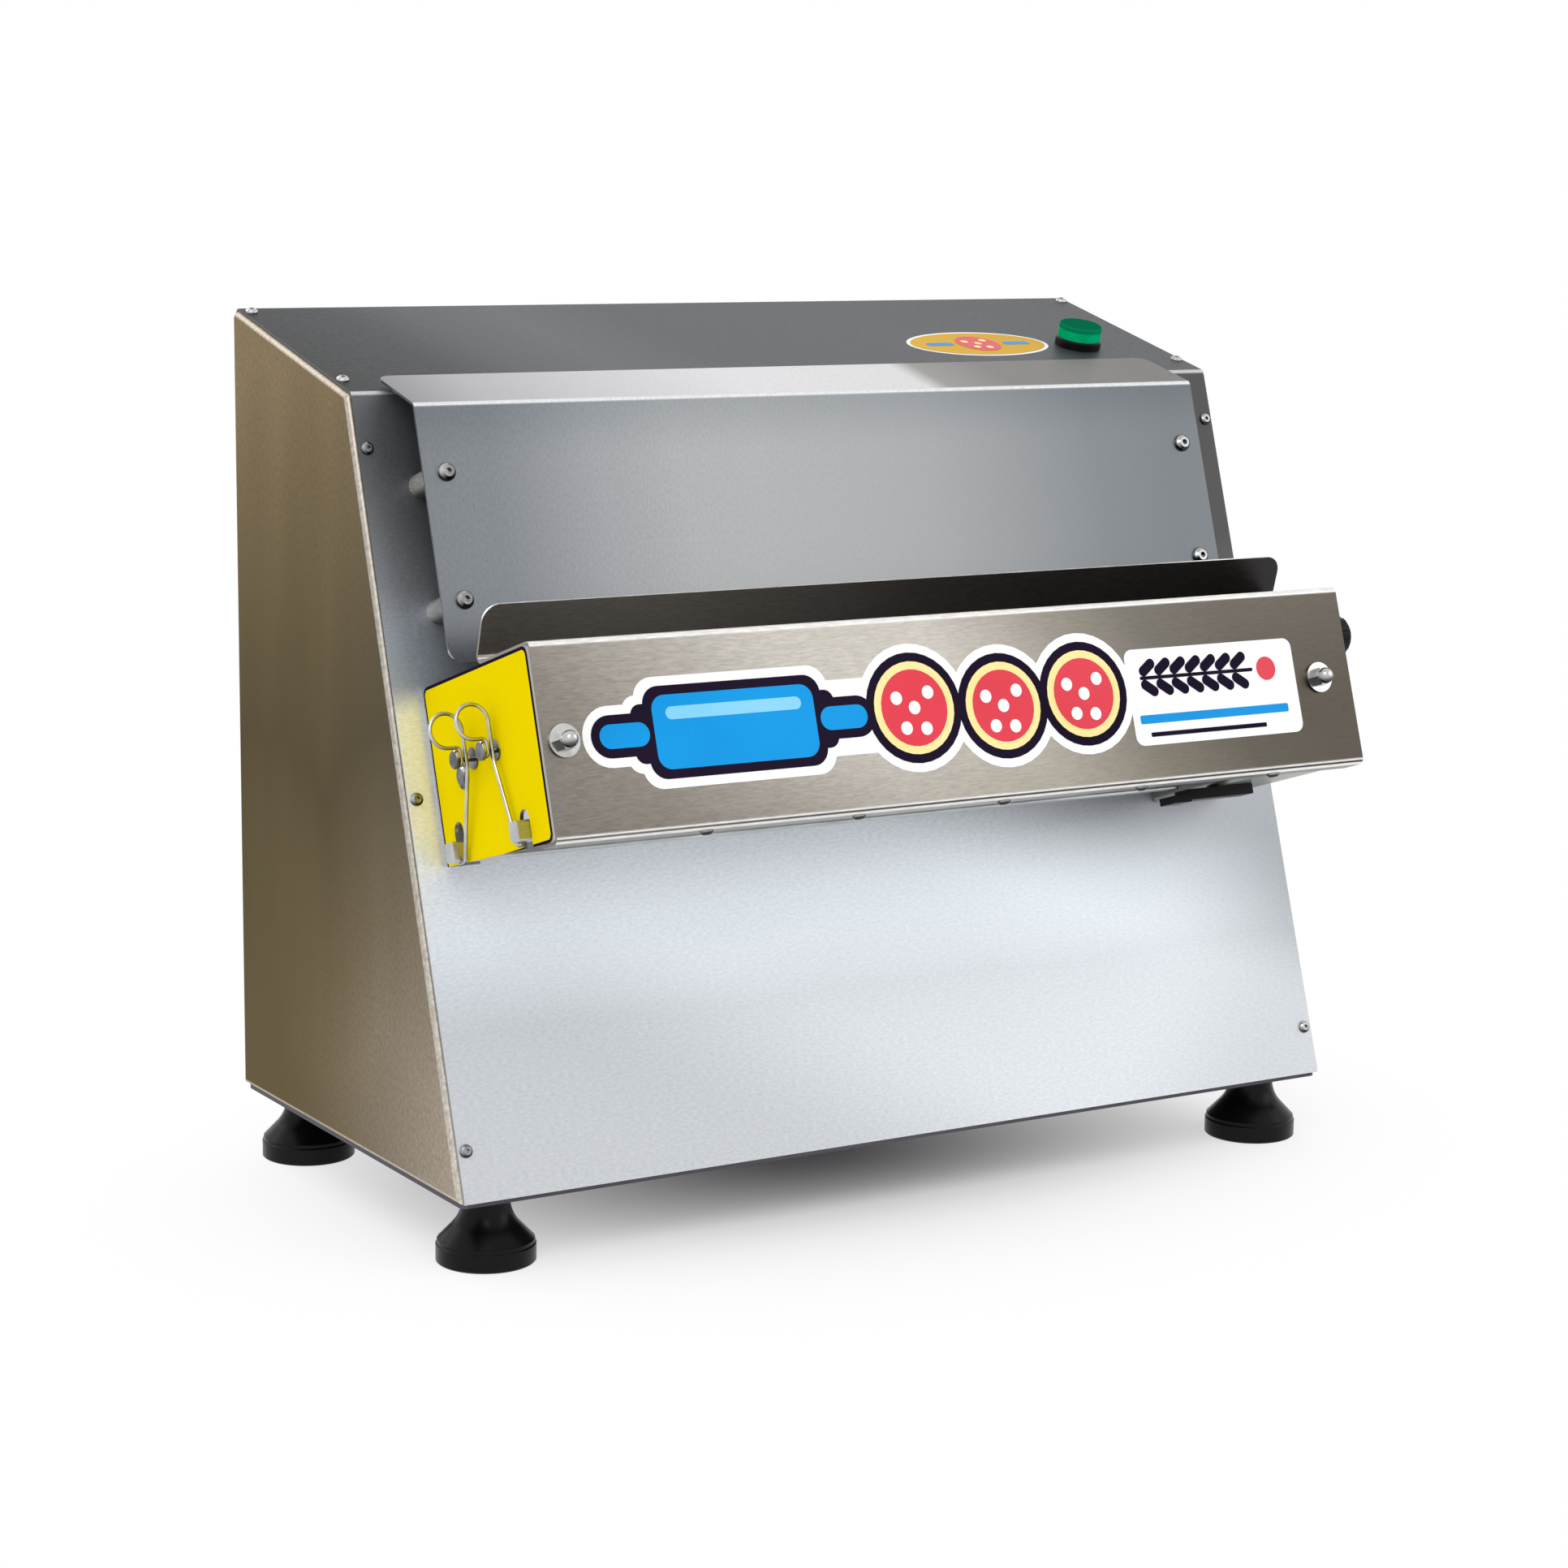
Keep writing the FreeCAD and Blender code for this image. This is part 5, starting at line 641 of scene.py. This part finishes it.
# floor of white paper that glows plain white away from the machine
floorLook = {"radius": 8.0, "sides": 96, "oval": (0.72, 1, 1), "fade": (0.0, 0.35),
             "paper": "fcfcfc", "glow": 1.0}
material, tree, coords = newMaterial("whitePaperFloor")
stretched = addNode(tree, "ShaderNodeMapping", {"Scale": floorLook["oval"]},
                    {"Vector": coords.outputs["Object"]})
distance = addNode(tree, "ShaderNodeVectorMath", {"operation": "LENGTH"},
                   {0: stretched.outputs[0]})
fade = carry(tree, distance.outputs["Value"], floorLook["fade"], course="SMOOTHSTEP")
paper = addNode(tree, "ShaderNodeBsdfDiffuse", {"Color": linear(floorLook["paper"])})
glow = addNode(tree, "ShaderNodeEmission",
               {"Color": linear("ffffff"), "Strength": floorLook["glow"]})
mixed = addNode(tree, "ShaderNodeMixShader",
                links={0: fade, 1: paper.outputs[0], 2: glow.outputs[0]})
finishMaterial(tree, mixed)
mesh = bmesh.new()
bmesh.ops.create_circle(mesh, cap_ends=True, segments=floorLook["sides"],
                        radius=floorLook["radius"])
floor = newObject("studioFloor", mesh, material)

# white room: full white to the camera and in reflections, softer as light
room = {"asLight": 0.88, "seen": 1.0}
world = bpy.data.worlds.new("whiteRoom")
scene.world = world
world.use_nodes = True
tree = world.node_tree
tree.nodes.clear()
path = addNode(tree, "ShaderNodeLightPath")
looked = addNode(tree, "ShaderNodeMath", {"operation": "ADD"},
                 {0: path.outputs["Is Camera Ray"], 1: path.outputs["Is Glossy Ray"]})
looked = addNode(tree, "ShaderNodeMath", {"operation": "ADD", "use_clamp": True},
                 {0: looked.outputs[0], 1: path.outputs["Is Transmission Ray"]})
strength = carry(tree, looked.outputs[0], (0, 1), (room["asLight"], room["seen"]))
walls = addNode(tree, "ShaderNodeBackground", {"Color": linear("ffffff")}, {"Strength": strength})
addNode(tree, "ShaderNodeOutputWorld", links={"Surface": walls.outputs[0]})

lamps = {
    "keySoftbox": {"place": (-1.3, -1.6, 2.0), "size": 1.3, "power": 14},
    "fillSoftbox": {"place": (1.8, -1.4, 1.2), "size": 1.5, "power": 8},
    "rearSoftbox": {"place": (-1.0, 1.8, 1.8), "size": 1.2, "power": 6},
}
lampTarget = Vector((0, 0, 0.22))
for name, lamp in lamps.items():
    lampData = bpy.data.lights.new(name, "AREA")
    lampData.shape = "SQUARE"
    lampData.size = lamp["size"]
    lampData.energy = lamp["power"]
    light = bpy.data.objects.new(name, lampData)
    light.location = lamp["place"]
    aim = lampTarget - Vector(lamp["place"])
    light.rotation_euler = aim.to_track_quat("-Z", "Y").to_euler()
    scene.collection.objects.link(light)
print("studio")

scene.view_settings.view_transform = "Standard"
